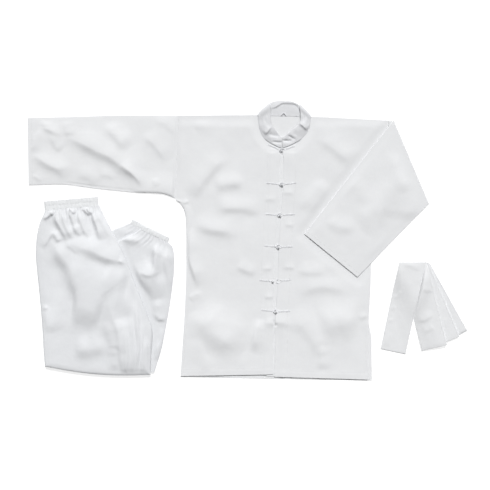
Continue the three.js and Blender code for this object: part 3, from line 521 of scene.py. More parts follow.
def normals_of(middle: Array) -> Array:
    """Unit normals of a surface, upwards where it lies flat.

    Args:
        middle: the surface, as rows of points.

    Returns:
        A normal for each point.
    """
    along = np.gradient(middle, axis=0)
    over = np.gradient(middle, axis=1)
    normal = np.cross(over, along)
    return normal / np.maximum(np.linalg.norm(normal, axis=-1, keepdims=True), 1e-9)


# MATERIALS


def linear(colour: str) -> tuple[float, float, float, float]:
    """Turns an sRGB hex value into the linear colour that shaders take."""
    parts = [int(colour[i : i + 2], 16) / 255 for i in (1, 3, 5)]
    return (*(c / 12.92 if c <= 0.04045 else ((c + 0.055) / 1.055) ** 2.4 for c in parts), 1.0)


def add_node(tree: Tree, kind: str, links: dict | None = None, **settings) -> bpy.types.Node:
    """Adds a node with its settings and what goes into it.

    Args:
        tree: the node tree.
        kind: the node's type.
        links: for each input, by name or number, a value to set, a socket to link, or a node whose
            first socket is linked.
        settings: the node's own properties.

    Returns:
        The node.
    """
    node = tree.nodes.new(kind)
    for key, value in settings.items():
        setattr(node, key, value)
    for key, value in (links or {}).items():
        if isinstance(value, Node):
            value = value.outputs[0]
        if isinstance(value, Socket):
            tree.links.new(value, node.inputs[key])
        else:
            node.inputs[key].default_value = value
    return node


def blank_material(name: str) -> tuple[Material, Tree]:
    """Starts a material with no nodes.

    Args:
        name: the real material that it stands for.

    Returns:
        The material and its tree.
    """
    material = bpy.data.materials.new(name)
    material.use_nodes = True
    material.node_tree.nodes.clear()
    return material, material.node_tree


class Weave(Enum):
    """How a cloth's threads run."""

    PLAIN = "over and under"
    RIBBED = "close ribs over elastic"
    TWISTED = "a cord's rolled surface"


@dataclass(frozen=True)
class ClothFinish:
    """A cotton cloth or cord: its colour, nap and threads."""

    name: str
    colour: str
    shade: str  # the darker colour that random mottling mixes in
    roughness: float
    sheen: float
    weave: Weave
    thread_mm: float
    thread_depth_mm: float
    crinkle_depth_mm: float

    def make(self) -> Material:
        """Builds the material's nodes.

        Returns:
            The material.
        """
        material, tree = blank_material(self.name)
        if self.weave is Weave.TWISTED:
            place = add_node(tree, "ShaderNodeTexCoord").outputs["Object"]
        else:
            place = add_node(tree, "ShaderNodeUVMap", uv_map="cloth").outputs["UV"]
        noises = []
        for scale, detail, rough in ((38.0, 4.0, 0.62), (420.0, 2.0, 0.5), (95.0, 5.0, 0.6)):
            given = {"Vector": place, "Scale": scale, "Detail": detail, "Roughness": rough}
            noises.append(add_node(tree, "ShaderNodeTexNoise", given))
        mottle, slub, crinkle = noises
        tone = add_node(tree, "ShaderNodeMath", {0: mottle, 1: slub, 2: 0.18}, operation="MULTIPLY_ADD")
        colour = add_node(
            tree, "ShaderNodeMix", {0: tone, 6: linear(self.shade), 7: linear(self.colour)}, data_type="RGBA"
        )
        bumped = {"Height": crinkle, "Strength": 1.0, "Distance": self.crinkle_depth_mm * MM}
        crinkled = add_node(tree, "ShaderNodeBump", bumped)
        bumped = {"Height": self.threads(tree, place), "Strength": 1.0, "Distance": self.thread_depth_mm * MM}
        woven = add_node(tree, "ShaderNodeBump", {**bumped, "Normal": crinkled})
        shader = add_node(tree, "ShaderNodeBsdfPrincipled", {
            "Base Color": colour.outputs[2], "Roughness": self.roughness, "Specular IOR Level": 0.25,
            "Sheen Weight": self.sheen, "Sheen Roughness": 0.5, "Normal": woven,
        })
        add_node(tree, "ShaderNodeOutputMaterial", {"Surface": shader})
        return material

    def threads(self, tree: Tree, place: Socket) -> Socket:
        """The height of the threads over the cloth.

        Args:
            tree: the material's node tree.
            place: where a point lies on the cloth, in metres.

        Returns:
            The socket that gives the height, from -1 to 1.
        """
        turns = math.pi / (self.thread_mm * MM)
        split = add_node(tree, "ShaderNodeSeparateXYZ", {"Vector": place})
        waves = []
        for axis in ("X", "Y"):
            phase = add_node(tree, "ShaderNodeMath", {0: split.outputs[axis], 1: turns}, operation="MULTIPLY")
            waves.append(add_node(tree, "ShaderNodeMath", {0: phase}, operation="SINE"))
        if self.weave is Weave.RIBBED:
            return waves[0].outputs[0]
        return add_node(tree, "ShaderNodeMath", {0: waves[0], 1: waves[1]}, operation="MULTIPLY").outputs[0]


# Plain-woven cotton drill, washed and pressed: white and matt, with a short soft nap. Its threads
# are 0.35 mm apart, and drawn at 0.9 mm so that they show as a faint tooth.
JACKET_COTTON = ClothFinish(
    "plain-woven cotton", "#EFF0F1", "#E6E7E9", 0.88, 0.12, Weave.PLAIN, 0.9, 0.05, 0.22
)
# The collar band is two layers with stiffening between them. Its colour is painted darker than the jacket's
# cotton: painted shade for the band's tilted sides and the shadow round the neck.
COLLAR_COTTON_PAINTED_SHADE = ClothFinish(
    "collar cotton with painted shade", "#E9EAEC", "#DEDFE2", 0.88, 0.1, Weave.PLAIN, 0.9, 0.05, 0.15
)
# The trousers' cotton is the same cloth, less pressed, so it keeps more small creases. Its colour is painted
# a little greyer than the jacket's: painted shade that darkens the trousers overall.
TROUSER_COTTON_PAINTED_SHADE = ClothFinish(
    "creased woven cotton", "#EDEEF0", "#E1E3E6", 0.86, 0.12, Weave.PLAIN, 0.9, 0.05, 0.34
)
# The belt is two layers of the same cotton stitched together and pressed hard.
BELT_COTTON = ClothFinish(
    "doubled pressed cotton", "#F0F1F2", "#E6E7E9", 0.85, 0.1, Weave.PLAIN, 0.9, 0.05, 0.18
)
# Cotton gathered over woven elastic: the elastic's cords, 1.6 mm apart, press through the cloth.
ELASTIC_BAND = ClothFinish(
    "cotton gathered over elastic", "#F2F3F4", "#E7E9EB", 0.88, 0.12, Weave.RIBBED, 1.6, 0.12, 0.3
)
# A strip of the same cotton rolled and sewn into a round cord, a little brighter and smoother.
ROLLED_CORD = ClothFinish(
    "rolled cotton cord", "#F1F2F4", "#E8E9EC", 0.8, 0.15, Weave.TWISTED, 0.8, 0.12, 0.1
)
# Polyester-wrapped sewing thread: finer and a little more lustrous than the cloth.
SEWING_THREAD = ClothFinish(
    "spun sewing thread", "#EDEDEC", "#D9DADB", 0.6, 0.05, Weave.TWISTED, 0.3, 0.05, 0.02
)


def paper_floor() -> Material:
    """Matt white background paper, lit from below as well, so that it stays free of shadows.

    Returns:
        The material.
    """
    material, tree = blank_material("matt white backing paper")
    shader = add_node(tree, "ShaderNodeBsdfPrincipled", {
        "Base Color": linear("#B8B8B8"), "Roughness": 0.95, "Specular IOR Level": 0.0,
        "Emission Color": linear("#FFFFFF"), "Emission Strength": 0.7,
    })
    add_node(tree, "ShaderNodeOutputMaterial", {"Surface": shader})
    return material


# PIECES THAT FOLLOW A PATH


def start_tree(name: str, inputs: Sequence[tuple[str, str, object]]) -> tuple[Tree, Node, Node]:
    """Starts a Geometry Nodes tree that follows the edges of a mesh.

    Args:
        name: the tree's name.
        inputs: for each input its name, its socket type and its value.

    Returns:
        The tree, its input node, and the node that gives the path.
    """
    tree = bpy.data.node_groups.new(name, "GeometryNodeTree")
    tree.interface.new_socket("Geometry", in_out="INPUT", socket_type="NodeSocketGeometry")
    tree.interface.new_socket("Geometry", in_out="OUTPUT", socket_type="NodeSocketGeometry")
    for label, kind, value in inputs:
        socket = tree.interface.new_socket(label, in_out="INPUT", socket_type=kind)
        socket.default_value = value
    tree.interface.new_socket("Material", in_out="INPUT", socket_type="NodeSocketMaterial")
    start = add_node(tree, "NodeGroupInput")
    return tree, start, add_node(tree, "GeometryNodeMeshToCurve", {"Mesh": start.outputs["Geometry"]})


def end_tree(tree: Tree, start: Node, shape: Node) -> Tree:
    """Ends a tree with its shape made smooth and real and given its material.

    Args:
        tree: the tree.
        start: its input node.
        shape: the node that makes its shape.

    Returns:
        The tree.
    """
    soft = add_node(tree, "GeometryNodeSetShadeSmooth", {"Geometry": shape})
    real = add_node(tree, "GeometryNodeRealizeInstances", {"Geometry": soft})
    dressed = {"Geometry": real, "Material": start.outputs["Material"]}
    add_node(tree, "NodeGroupOutput", {"Geometry": add_node(tree, "GeometryNodeSetMaterial", dressed)})
    return tree


def cord_tree() -> Tree:
    """A tree that turns polylines into round cord.

    Returns:
        The tree, with inputs Radius, Sides and Material.
    """
    inputs = [("Radius", "NodeSocketFloat", 0.0015), ("Sides", "NodeSocketInt", 12)]
    tree, start, course = start_tree("round cord along its path", inputs)
    circle = {"Radius": start.outputs["Radius"], "Resolution": start.outputs["Sides"]}
    section = add_node(tree, "GeometryNodeCurvePrimitiveCircle", circle)
    drawn = {"Curve": course, "Profile Curve": section, "Fill Caps": True}
    return end_tree(tree, start, add_node(tree, "GeometryNodeCurveToMesh", drawn))


def stitch_tree() -> Tree:
    """A tree that sews stitches along polylines.

    Returns:
        The tree, with inputs Pitch, Stitch, Thread, Seed and Material.
    """
    lengths = (("Pitch", 0.003), ("Stitch", 0.0024), ("Thread", 0.0003))
    inputs = [(label, "NodeSocketFloat", value) for label, value in lengths]
    tree, start, course = start_tree("stitches along a seam", [*inputs, ("Seed", "NodeSocketInt", 5)])
    given = start.outputs
    points = add_node(
        tree, "GeometryNodeCurveToPoints", {"Curve": course, "Length": given["Pitch"]}, mode="LENGTH"
    )
    ball = add_node(tree, "GeometryNodeMeshUVSphere", {"Segments": 6, "Rings": 5, "Radius": given["Thread"]})
    stretch = add_node(tree, "ShaderNodeMath", {0: given["Stitch"], 1: given["Thread"]}, operation="DIVIDE")
    half = add_node(tree, "ShaderNodeMath", {0: stretch, 1: 0.5}, operation="MULTIPLY")
    shortest, longest = (
        add_node(tree, "ShaderNodeMath", {0: half, 1: share}, operation="MULTIPLY") for share in (0.92, 1.08)
    )
    drawn = {2: shortest, 3: longest, "Seed": given["Seed"]}
    uneven = add_node(tree, "FunctionNodeRandomValue", drawn, data_type="FLOAT")
    scale = add_node(tree, "ShaderNodeCombineXYZ", {"X": 1.0, "Y": 1.0, "Z": uneven.outputs[1]})
    placed = {"Points": points, "Instance": ball, "Rotation": points.outputs["Rotation"], "Scale": scale}
    return end_tree(tree, start, add_node(tree, "GeometryNodeInstanceOnPoints", placed))


def follow(
    name: str, paths: Sequence[Array], closed: Sequence[bool], tree: Tree, **values: object
) -> Piece:
    """Runs a tree along paths and keeps the result as one plain mesh.

    Args:
        name: the piece's name.
        paths: rows of points in metres.
        closed: for each path, whether it comes back to its start.
        tree: the Geometry Nodes tree.
        values: the tree's inputs by name.

    Returns:
        The piece.
    """
    points, edges = [], []
    for path, loop in zip(paths, closed):
        first = len(points)
        points += [tuple(p) for p in path]
        edges += [(i, i + 1) for i in range(first, len(points) - 1)]
        if loop:
            edges.append((len(points) - 1, first))
    mesh = bpy.data.meshes.new(name + ".path")
    mesh.from_pydata(points, edges, [])
    guide = show(name + ".path", mesh)
    modifier = guide.modifiers.new(tree.name, "NODES")
    modifier.node_group = tree
    sockets = {s.name: s.identifier for s in tree.interface.items_tree if s.in_out == "INPUT"}
    for key, value in values.items():
        modifier[sockets[key]] = value
    evaluated = guide.evaluated_get(bpy.context.evaluated_depsgraph_get())
    made_mesh = bpy.data.meshes.new_from_object(evaluated)
    guide.modifiers.remove(modifier)
    bpy.data.objects.remove(guide)
    made_mesh.name = name
    return show(name, made_mesh)


class Surface:
    """The top of some pieces of cloth, which cords and stitches lie on."""

    def __init__(self, *pieces: Piece) -> None:
        """Reads the pieces' faces.

        Args:
            pieces: the cloth's objects.
        """
        self.trees = [
            BVHTree.FromPolygons([v.co[:] for v in o.data.vertices], [p.vertices[:] for p in o.data.polygons])
            for o in pieces
        ]

    def height(self, x: float, y: float) -> float | None:
        """The height of the highest cloth at a point, all in metres.

        Args:
            x: where the point is.
            y: the same, towards the collar.

        Returns:
            The height, or None off the cloth.
        """
        hits = [tree.ray_cast(Vector((x, y, 0.2)), Vector((0, 0, -1)))[0] for tree in self.trees]
        heights = [hit.z for hit in hits if hit is not None]
        return max(heights) if heights else None

    def lay(self, path: Array, lift: float) -> Array:
        """Puts a path of points in metres on the cloth, raised by lift.

        Args:
            path: rows of x and y.
            lift: how far above the cloth, in metres.

        Returns:
            Rows of x, y and z, without the points that are off the cloth.
        """
        found = [(x, y, self.height(x, y)) for x, y in path]
        return np.array([(x, y, z + lift) for x, y, z in found if z is not None])


@dataclass
class Garment:
    """What the garments share: where they lie, and how a finished piece is handed over."""

    origin: tuple[float, float]  # in the shared frame, in mm
    material: Material
    made: dict[str, Piece] = field(default_factory=dict, init=False)
    seed: int = field(default=1, kw_only=True)

    def __post_init__(self) -> None:
        """Draws the garment's own unevenness."""
        self.noise = Noise(self.seed)

    def world(self, points: Array) -> Array:
        """Moves points into the shared frame.

        Args:
            points: in the garment's mm.

        Returns:
            The points in metres.
        """
        shift = np.zeros(points.shape[-1])
        shift[:2] = self.origin
        return (points + shift) * MM

    def finish(self, piece: Piece, material: Material, slot: str, *nodes: str) -> None:
        """Dresses a piece and hands it to the frame.

        Args:
            piece: the object.
            material: its finish.
            slot: not used.
            nodes: the solids that it stands for.
        """
        if not piece.data.materials:
            piece.data.materials.append(material)
        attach(piece, "root")
        if nodes:
            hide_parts(*nodes)
        self.made[piece.name] = piece
        LOG.info("%s: %d faces", piece.name, len(piece.data.polygons))

    def panel(self, name: str, grid: Grid, low: Array, turn: float = 0.0) -> Piece:
        """A panel of cloth lying on the heights given for its underside.

        Args:
            name: the object's name.
            grid: its points.
            low: the heights of its underside in mm.
            turn: the angle of its threads, in degrees.

        Returns:
            The object.
        """
        half = half_wall(grid.edge)
        middle = low + WALL / 2
        above = half / np.maximum(0.7, np.abs(normals_of(raised(grid.xy, middle))[..., 2]))
        upper, lower = raised(grid.xy, middle + above), raised(grid.xy, middle - half)
        return shell(name, self.world(upper), self.world(lower), threads_at(grid.xy, turn))

    def tube(self, name: str, outer: Array, inner: Array, uv: Array) -> Piece:
        """A flat tube of cloth from its outer and inner rings."""
        return shell(name, self.world(outer), self.world(inner), uv, wrap=True)


def threads_at(xy: Array, turn: float) -> Array:
    """Places on the cloth for points laid flat.

    Args:
        xy: the points in mm.
        turn: the angle of the cloth's threads, in degrees.

    Returns:
        The places in metres.
    """
    angle = math.radians(turn)
    u = xy[..., 0] * math.cos(angle) + xy[..., 1] * math.sin(angle)
    v = xy[..., 1] * math.cos(angle) - xy[..., 0] * math.sin(angle)
    return np.stack([u, v], -1) * MM


@dataclass
class FlatTube:
    """The rows of points of a sleeve or leg that lies flat: two walls that join at two edges."""

    first: Array  # the row ends on one edge, in mm
    second: Array  # and on the other
    parted: float = 0.9  # how far in from an edge the walls are parted

    def __post_init__(self) -> None:
        """Works out how far each point of a ring is from the first edge, and on which wall."""
        self.width = np.linalg.norm(self.second - self.first, axis=1)
        plain = across(self.width, COARSE)
        shown = across(self.width, FINE)[:, ::-1][:, 1:-1]
        self.d = np.concatenate([plain, shown], axis=1)
        self.side = np.where(np.arange(self.d.shape[1]) < plain.shape[1], -1.0, 1.0)

    def ring(self, inset: float) -> tuple[Array, Array, Array]:
        """One skin's points.

        Args:
            inset: 0 for the outer skin, the wall's thickness for the inner one.

        Returns:
            The points in the plane, their share of the way across, and their height from the
            tube's middle plane, with the wall that shows above it.
        """
        width = self.width[:, None]
        d = inset + self.d * (1 - 2 * inset / width)
        share = d / width
        xy = self.first[:, None] + (self.second - self.first)[:, None] * share[..., None]
        edge = np.minimum(self.d, width - self.d)
        half = (TUBE / 2 - inset) * self.side * rounded(edge / self.parted)
        return xy, share, half

    def fullness(self, share: Array) -> Array:
        """How much of a tube's air there is across it: none at its two edges."""
        return clamp01(2 * np.sqrt(np.minimum(share, 1 - share).clip(0)))


# JACKET

FRONT_RIGHT_ROWS = (
    # side edge, front edge, from the hem up to the shoulder
    ((-300, -754), (-32, -749)),
    ((-294, -664), (-31, -664)),
    ((-289, -590), (-32, -600)),
    ((-284, -478), (-31, -500)),
    ((-283, -357), (-27, -380)),
    ((-285, -296), (-21, -290)),
    ((-291, -269), (-16, -240)),
    ((-303, -251), (-14, -205)),
    ((-315, -239), (-13, -162)),
    ((-312.1, -171), (-12, -125)),
    ((-309.1, -99), (-12, -99)),
    ((-307.5, -60), (-45, -79)),
    ((-306, -25), (-71, -42)),
    ((-305, -1), (-77, 1)),
)
FRONT_LEFT_ROWS = (
    # side edge, front edge, from the hem up to the shoulder
    ((245, -764), (-28, -756)),
    ((244, -664), (-26, -664)),
    ((246, -590), (-26, -600)),
    ((251, -490), (-19, -500)),
    ((254, -360), (-15, -380)),
    ((256, -310), (-9, -290)),
    ((265, -275), (-5, -240)),
    ((287, -251), (-3, -205)),
    ((310, -243), (-2, -162)),
    ((307.8, -171), (-1, -125)),
    ((305.6, -99), (-1, -99)),
    ((304.3, -55), (38, -78)),
    ((303.4, -28), (70, -44)),
    ((303, -13), (79, -6)),
)
NECK_ROWS = 4  # how many of those rows, from the top, run along the neckline
SLEEVE_RIGHT_ROWS = (
    # upper edge, lower edge, from the cuff to the armhole
    ((-743, -5), (-740, -201)),
    ((-619, -2.2), (-637, -199)),
    ((-512, 0.8), (-543, -211)),
    ((-400, 1.8), (-433, -222)),
    ((-340, 1), (-354, -226)),
    ((-305.7, 1), (-316.2, -239)),
)
SLEEVE_LEFT_SEAM = ((303.8, -13), (311.4, -243))
SLEEVE_LEFT_CREASE = ((316, -15), (418, -256))
SLEEVE_LEFT_CUFF = ((59, -342), (213, -467))

FRONT_FOLDS = (
    # across the right chest, from the armpit up towards the neck
    Fold(((-271, -236), (-242, -196), (-203, -148), (-158, -112)), 5.5, 34, 15),
    Fold(((-204, -206), (-162, -196), (-112, -192)), 4.4, 26, 16),
    Fold(((-206, -270), (-160, -266), (-110, -268), (-58, -280)), 4.6, 28, 14),
    Fold(((-262, -308), (-222, -322), (-182, -332), (-124, -332)), 5.2, 30, 17),
    Fold(((-177, 6), (-223, -10), (-266, -34)), 3.0, 24, 12),
    Fold(((-300, -246), (-288, -252), (-276, -243)), 3.0, 9, 4, 1.4),
    Fold(((-288, -262), (-280, -290), (-272, -300)), 2.0, 10, 5),
    # down the right side
    Fold(((-286, -290), (-275, -368), (-271, -424), (-260, -462), (-245, -500)), 8.5, 22, 6, 1.4),
    Fold(((-232, -510), (-262, -520), (-276, -530)), 1.8, 14, 7),
    Fold(((-142, -432), (-110, -446), (-76, -458)), 2.6, 22, 11),
    Fold(((-262, -560), (-222, -608), (-174, -644), (-116, -688)), 11.0, 56, 36),
    Fold(((-262, -640), (-236, -700), (-214, -740)), 2.6, 18, 26),
    Fold(((-70, -584), (-82, -632), (-90, -690)), 5.6, 24, 9, 1.5),
    Fold(((-68, -596), (-40, -601), (-14, -600), (40, -606)), 3.4, 20, 11, 1.6),
    Fold(((-140, -300), (-118, -372), (-112, -470)), 2.2, 60, 40),
    # where the two fronts are tacked together below the last fastening
    Fold(((-33, -607), (-27, -607), (-20, -607)), -6.0, 3.0, 3.0, 1.6),
    # short puckers beside the facings, between the fastenings
    Fold(((-58, -242), (-40, -240), (-20, -242)), 1.5, 9, 5, 1.4),
    Fold(((-4, -225), (14, -223), (32, -226)), 1.7, 9, 5, 1.4),
    Fold(((0, -315), (16, -315), (32, -318)), 1.6, 9, 5, 1.4),
    Fold(((-62, -446), (-48, -442), (-33, -444)), 1.6, 9, 5, 1.4),
    Fold(((-4, -440), (14, -438), (32, -442)), 1.7, 9, 5, 1.4),
    Fold(((-60, -526), (-44, -523), (-28, -525)), 1.7, 9, 5, 1.4),
    # the left front, below the folded sleeve and beside the collar
    Fold(((90, -58), (154, -101), (202, -142)), 3.4, 30, 14),
    Fold(((46, -273), (84, -228), (120, -184)), 3.6, 16, 30),
    Fold(((34, -444), (74, -452), (126, -448)), 3.0, 24, 13),
    Fold(((28, -514), (87, -496), (140, -496), (206, -512)), 3.8, 28, 16),
    Fold(((4, -590), (56, -606), (92, -654), (110, -700)), 5.0, 40, 20),
    Fold(((96, -604), (160, -590), (226, -600)), 8.4, 40, 50),
    Fold(((112, -662), (108, -700), (106, -738)), 3.0, 26, 9, 1.5),
    Fold(((214, -588), (232, -580), (243, -576)), 1.8, 10, 6),
    Fold(((140, -390), (186, -400), (226, -380)), 3.0, 34, 22),
)
SLEEVE_FOLDS = (
    # the long one from the upper edge near the cuff down towards the armpit
    Fold(
        ((-640, -54), (-604, -72), (-559, -94), (-506, -119), (-466, -147), (-438, -171), (-410, -202)),
        8.6, 42, 15, 1.7,
    ),
    Fold(((-478, -140), (-448, -162), (-426, -182), (-408, -208)), 5.0, 16, 6, 1.4),
    Fold(((-512, -12), (-502, -42), (-474, -70), (-452, -100)), 5.6, 30, 15),
    Fold(((-410, -50), (-373, -90), (-334, -134)), 3.4, 30, 10, 1.5),
    Fold(((-730, -106), (-702, -128), (-672, -147), (-650, -161), (-633, -192)), 6.4, 26, 13, 1.6),
    Fold(((-729, -171), (-716, -180), (-699, -194)), 2.2, 9, 3.5, 1.3),
    Fold(((-700, -20), (-686, -36), (-668, -45), (-640, -58)), 4.6, 22, 10, 1.6),
    Fold(((-702, -34), (-721, -70), (-729, -108)), 2.6, 24, 5, 1.3),
    Fold(((-633, -12), (-628, -34), (-622, -60)), 2.6, 20, 12),
    Fold(((-696, -12), (-697, -30)), 2.2, 16, 8),
    Fold(((-676, -50), (-660, -84), (-644, -100)), 3.2, 20, 10),
    Fold(((-606, -172), (-566, -178), (-540, -203)), 3.4, 22, 12),
    Fold(((-540, -170), (-510, -172), (-486, -182)), 1.6, 14, 8),
    Fold(((-379, -12), (-342, -22), (-306, -54)), 2.4, 20, 11),
    Fold(((-376, -180), (-368, -206)), 2.0, 12, 8),
)
FOLDED_SLEEVE_FOLDS = (
    Fold(((318, -96), (330, -170), (352, -226)), 3.4, 34, 24),
    Fold(((330, -150), (300, -220), (250, -290), (214, -320)), 4.4, 40, 30),
    Fold(((120, -296), (160, -322), (214, -322)), 3.0, 24, 16),
    Fold(((180, -190), (214, -214), (240, -262)), 2.4, 26, 20),
)


@dataclass
class Jacket(Garment):
    """The jacket's cloth but for its collar: back, fronts, underlap and sleeves."""

    seed: int = field(default=11, kw_only=True)
    sleeve_reach: float = 743.0
    sleeve_length: float = 437.0  # of the sleeve itself, from the cuff to the armhole
    cuff_width: float = 195.0
    lowest_hem: float = 764.0
    hem_drop: float = 3.0  # the back hem shows this far below the fronts
    slit_spread: float = 10.0  # and the back this far beside the left front, below its slit
    back_neck: tuple = (
        (-305, 0.6), (-110, 1.6), (-74, 2.2), (-60, 4.5), (-30, 3), (0, 2.5), (30, 2), (62, 0.5), (76, -2.4),
        (122, -4.1), (200, -8), (303, -13),
    )
    shoulder_rise: tuple = ((-305, 2.0), (-77, 2.0), (79, 4.2), (122, 3.8), (200, 2.0), (303, 0.0))
    slit_drop: float = 590.0  # from the neck down to the top of the side slits
    hem_depth: float = 20.0
    slit_hem: float = 9.0
    cuff_hem: float = 13.0
    seam_overlap: float = 0.7  # how far a sleeve reaches into its armhole's seam
    facing: float = 37.0  # the facing inside each front edge, sewn down along its far side
    underlap_corners: tuple = ((-34, -100), (16, -100), (-7, -755), (-52, -755))
    crease_height: float = 2 * WALL + 1.5 * GAP  # of the axis that the left sleeve turns over about
    crumple: Crumple = Crumple(1.7, 0.45, 0.1)

    def __post_init__(self) -> None:
        """Works out what lies on what."""
        super().__post_init__()
        self.side_right = Curve([row[0] for row in FRONT_RIGHT_ROWS])
        self.front_right = Curve([row[1] for row in FRONT_RIGHT_ROWS])
        self.side_left = Curve([row[0] for row in FRONT_LEFT_ROWS])
        self.front_left = Curve([row[1] for row in FRONT_LEFT_ROWS])
        body = outline_of(self.side_right, self.side_left)
        seam, crease, cuff = SLEEVE_LEFT_SEAM, SLEEVE_LEFT_CREASE, SLEEVE_LEFT_CUFF
        under_sleeve = (seam[0], crease[0], crease[1], seam[1])
        folded = (crease[0], crease[1], cuff[1], cuff[0])
        self.on_body = covers(body, 10, 26)
        self.on_under_sleeve = covers(under_sleeve, 24, 36)
        self.under_folded_sleeve = covers(folded, 5, 26)
        self.on_underlap = covers(self.underlap_corners, 2, 9)
        self.over_underlap = covers(self.underlap_corners, 14, 24)

    def back(self) -> None:
        """The back: one flat panel, seen at the neck, the hem and the slits."""
        grid = Grid.between(self.side_right, self.side_left, 7.0)
        x, y = grid.xy[..., 0], grid.xy[..., 1]
        below = smooth((-y - self.slit_drop) / 60)
        width = grid.left + grid.right
        at_neck, target = (np.array(column) for column in zip(*self.back_neck))
        level = np.interp(x, at_neck[[0, -1]], (-1.0, -13.0))
        rise = (np.interp(x, at_neck, target) - level) * smooth((60 - grid.end) / 60)
        grid.xy[..., 0] = x + below * self.slit_spread * smooth(grid.left / width * 4 - 3)
        grid.xy[..., 1] = y - below * self.hem_drop + rise
        hem = turned_hem(grid.start, self.hem_depth, x, self.noise) * 0.2
        piece = self.panel("back_panel", grid, np.maximum(hem, 0))
        self.finish(piece, self.material, "cotton", "jacket_back")

    def front(self, name: str, node: str, is_right: bool) -> None:
        """One front, over the back and the underlap, with its folds, facing and hems.

        Args:
            name: the piece's name.
            node: the solid that it stands for.
            is_right: whether it is the wearer's right front, on the left of the layout.
        """
        if is_right:
            grid = Grid.between(self.side_right, self.front_right, FINE)
            from_side, from_front, neck_curve = grid.left, grid.right, self.front_right
        else:
            grid = Grid.between(self.front_left, self.side_left, FINE)
            from_side, from_front, neck_curve = grid.right, grid.left, self.front_left
        rise = np.interp(grid.xy[..., 0], *zip(*self.shoulder_rise))
        grid.xy[..., 1] += rise * smooth((60 - grid.end) / 60)
        y = grid.xy[..., 1]
        below_neck = 1 - (NECK_ROWS - 1) / (len(FRONT_RIGHT_ROWS) - 1)
        neckline = neck_curve(np.linspace(below_neck, 1, 40))
        neck_edge = np.concatenate([neckline, neckline[::-1] + (0.0, 0.01)])
        from_neck = outside(neck_edge, grid.xy)
        in_slit = smooth((-y - self.slit_drop) / 20)
        sewn_side = smooth(from_side / mix(12.0, 6.0, in_slit))
        sewn = sewn_side * smooth((-y - 6) / 30) * smooth((from_neck - 1) / 26)
        pressed = 1 - self.under_folded_sleeve(grid.xy)
        air = 2.2 * np.minimum(sewn, smooth(from_front / 30))
        under_arm = smooth((-y - 236) / 12) * smooth((y + 440) / 60)
        rolled = under_arm * rounded(from_side / 5.5) * smooth((36 - from_side) / 30)
        rolled = rolled * (4.0 if is_right else 1.2)
        relief = fold_relief(FRONT_FOLDS, grid.xy, self.noise) + self.crumple(grid.xy, self.noise)
        lift = np.maximum(air + relief * sewn, rolled) * pressed
        facing = 0.3 * (1 - smooth((from_front - self.facing) / 2.5)) * smooth((-y - 104) / 4)
        stitched = seam_line(from_front, self.facing - STITCHES_IN, y, self.noise)
        facing = facing + stitched * smooth((-y - 110) / 10)
        hem = turned_hem(grid.start, self.hem_depth, grid.xy[..., 0], self.noise)
        slit = turned_hem(from_side, self.slit_hem, y, self.noise) * in_slit
        waved = 0.9 * clamp01(self.noise(grid.xy + 5.0, 42.0)) * (1 - smooth(grid.start / 50))
        low = LAYER * (1 + self.on_underlap(grid.xy)) + lift
        low = low + np.maximum(facing + hem + slit, 0) * mix(0.35, 1.0, pressed) * 0.8 + waved * pressed
        piece = self.panel(name, grid, low, 1.5 if is_right else -1.0)
        self.finish(piece, self.material, "cotton", node)

    def underlap(self) -> None:
        """The strip behind the opening, which shows between the two front edges."""
        corners = self.underlap_corners
        grid = Grid.between(Curve([corners[3], corners[0]]), Curve([corners[2], corners[1]]), 5.0)
        relief = 0.12 * np.abs(self.noise(grid.xy, 30.0))
        piece = self.panel("underlap", grid, LAYER + relief)
        self.finish(piece, self.material, "cotton", "jacket_underlap")

    def sleeve_right(self) -> None:
        """The sleeve that lies stretched out, with its long diagonal fold."""
        upper = Curve([row[0] for row in SLEEVE_RIGHT_ROWS])
        lower = Curve([row[1] for row in SLEEVE_RIGHT_ROWS])
        t = spread(self.sleeve_length, FINE) / self.sleeve_length
        tube = FlatTube(upper(t), lower(t))
        into_seam = (t > 0.999)[:, None] * self.seam_overlap

        def skin(inset: float) -> Array:
            """One skin's rings.

            Args:
                inset: how far it lies inside the outer skin.

            Returns:
                Rows of points in mm.
            """
            xy, share, half = tube.ring(inset)
            xy[..., 0] += into_seam
            x = xy[..., 0]
            from_cuff = np.broadcast_to((t * self.sleeve_length)[:, None], x.shape)
            shows = tube.side > 0
            seam = smooth((self.sleeve_length - from_cuff) / 30)
            full = tube.fullness(share)
            relief = fold_relief(SLEEVE_FOLDS, xy, self.noise) * smooth(from_cuff / 16)
            relief = relief + self.crumple(xy + 500.0, self.noise) * smooth(from_cuff / 10)
            air = full * seam * np.maximum(2.0 * mix(0.25, 1.0, smooth(from_cuff / 30)) + relief, 0)
            hem = turned_hem(from_cuff, self.cuff_hem, xy[..., 1], self.noise)
            edge = np.minimum(share, 1 - share) * self.cuff_width
            low_edge = (1 - share) * self.cuff_width
            near_arm = smooth((x + 455) / 45)
            rolled = 4.6 * rounded(low_edge / 5.5) * near_arm * seam * smooth((60 - low_edge) / 50)
            double = -1.6 * bump_at(low_edge - 5.5, 1.6) * smooth((x + 640) / 20) * (1 - near_arm)
            air = np.maximum(air + rolled, 0) + double * smooth(air)
            z = TUBE / 2 + half + np.where(shows, air + np.maximum(hem, 0) * 0.7 * smooth(edge / 3), 0)
            return raised(xy, z)

        outer, inner = skin(0.0), skin(WALL)
        piece = self.tube("sleeve_stretched", outer, inner, threads_at(outer[..., :2], 88.0))
        self.finish(piece, self.material, "cotton", "jacket_sleeve_right")

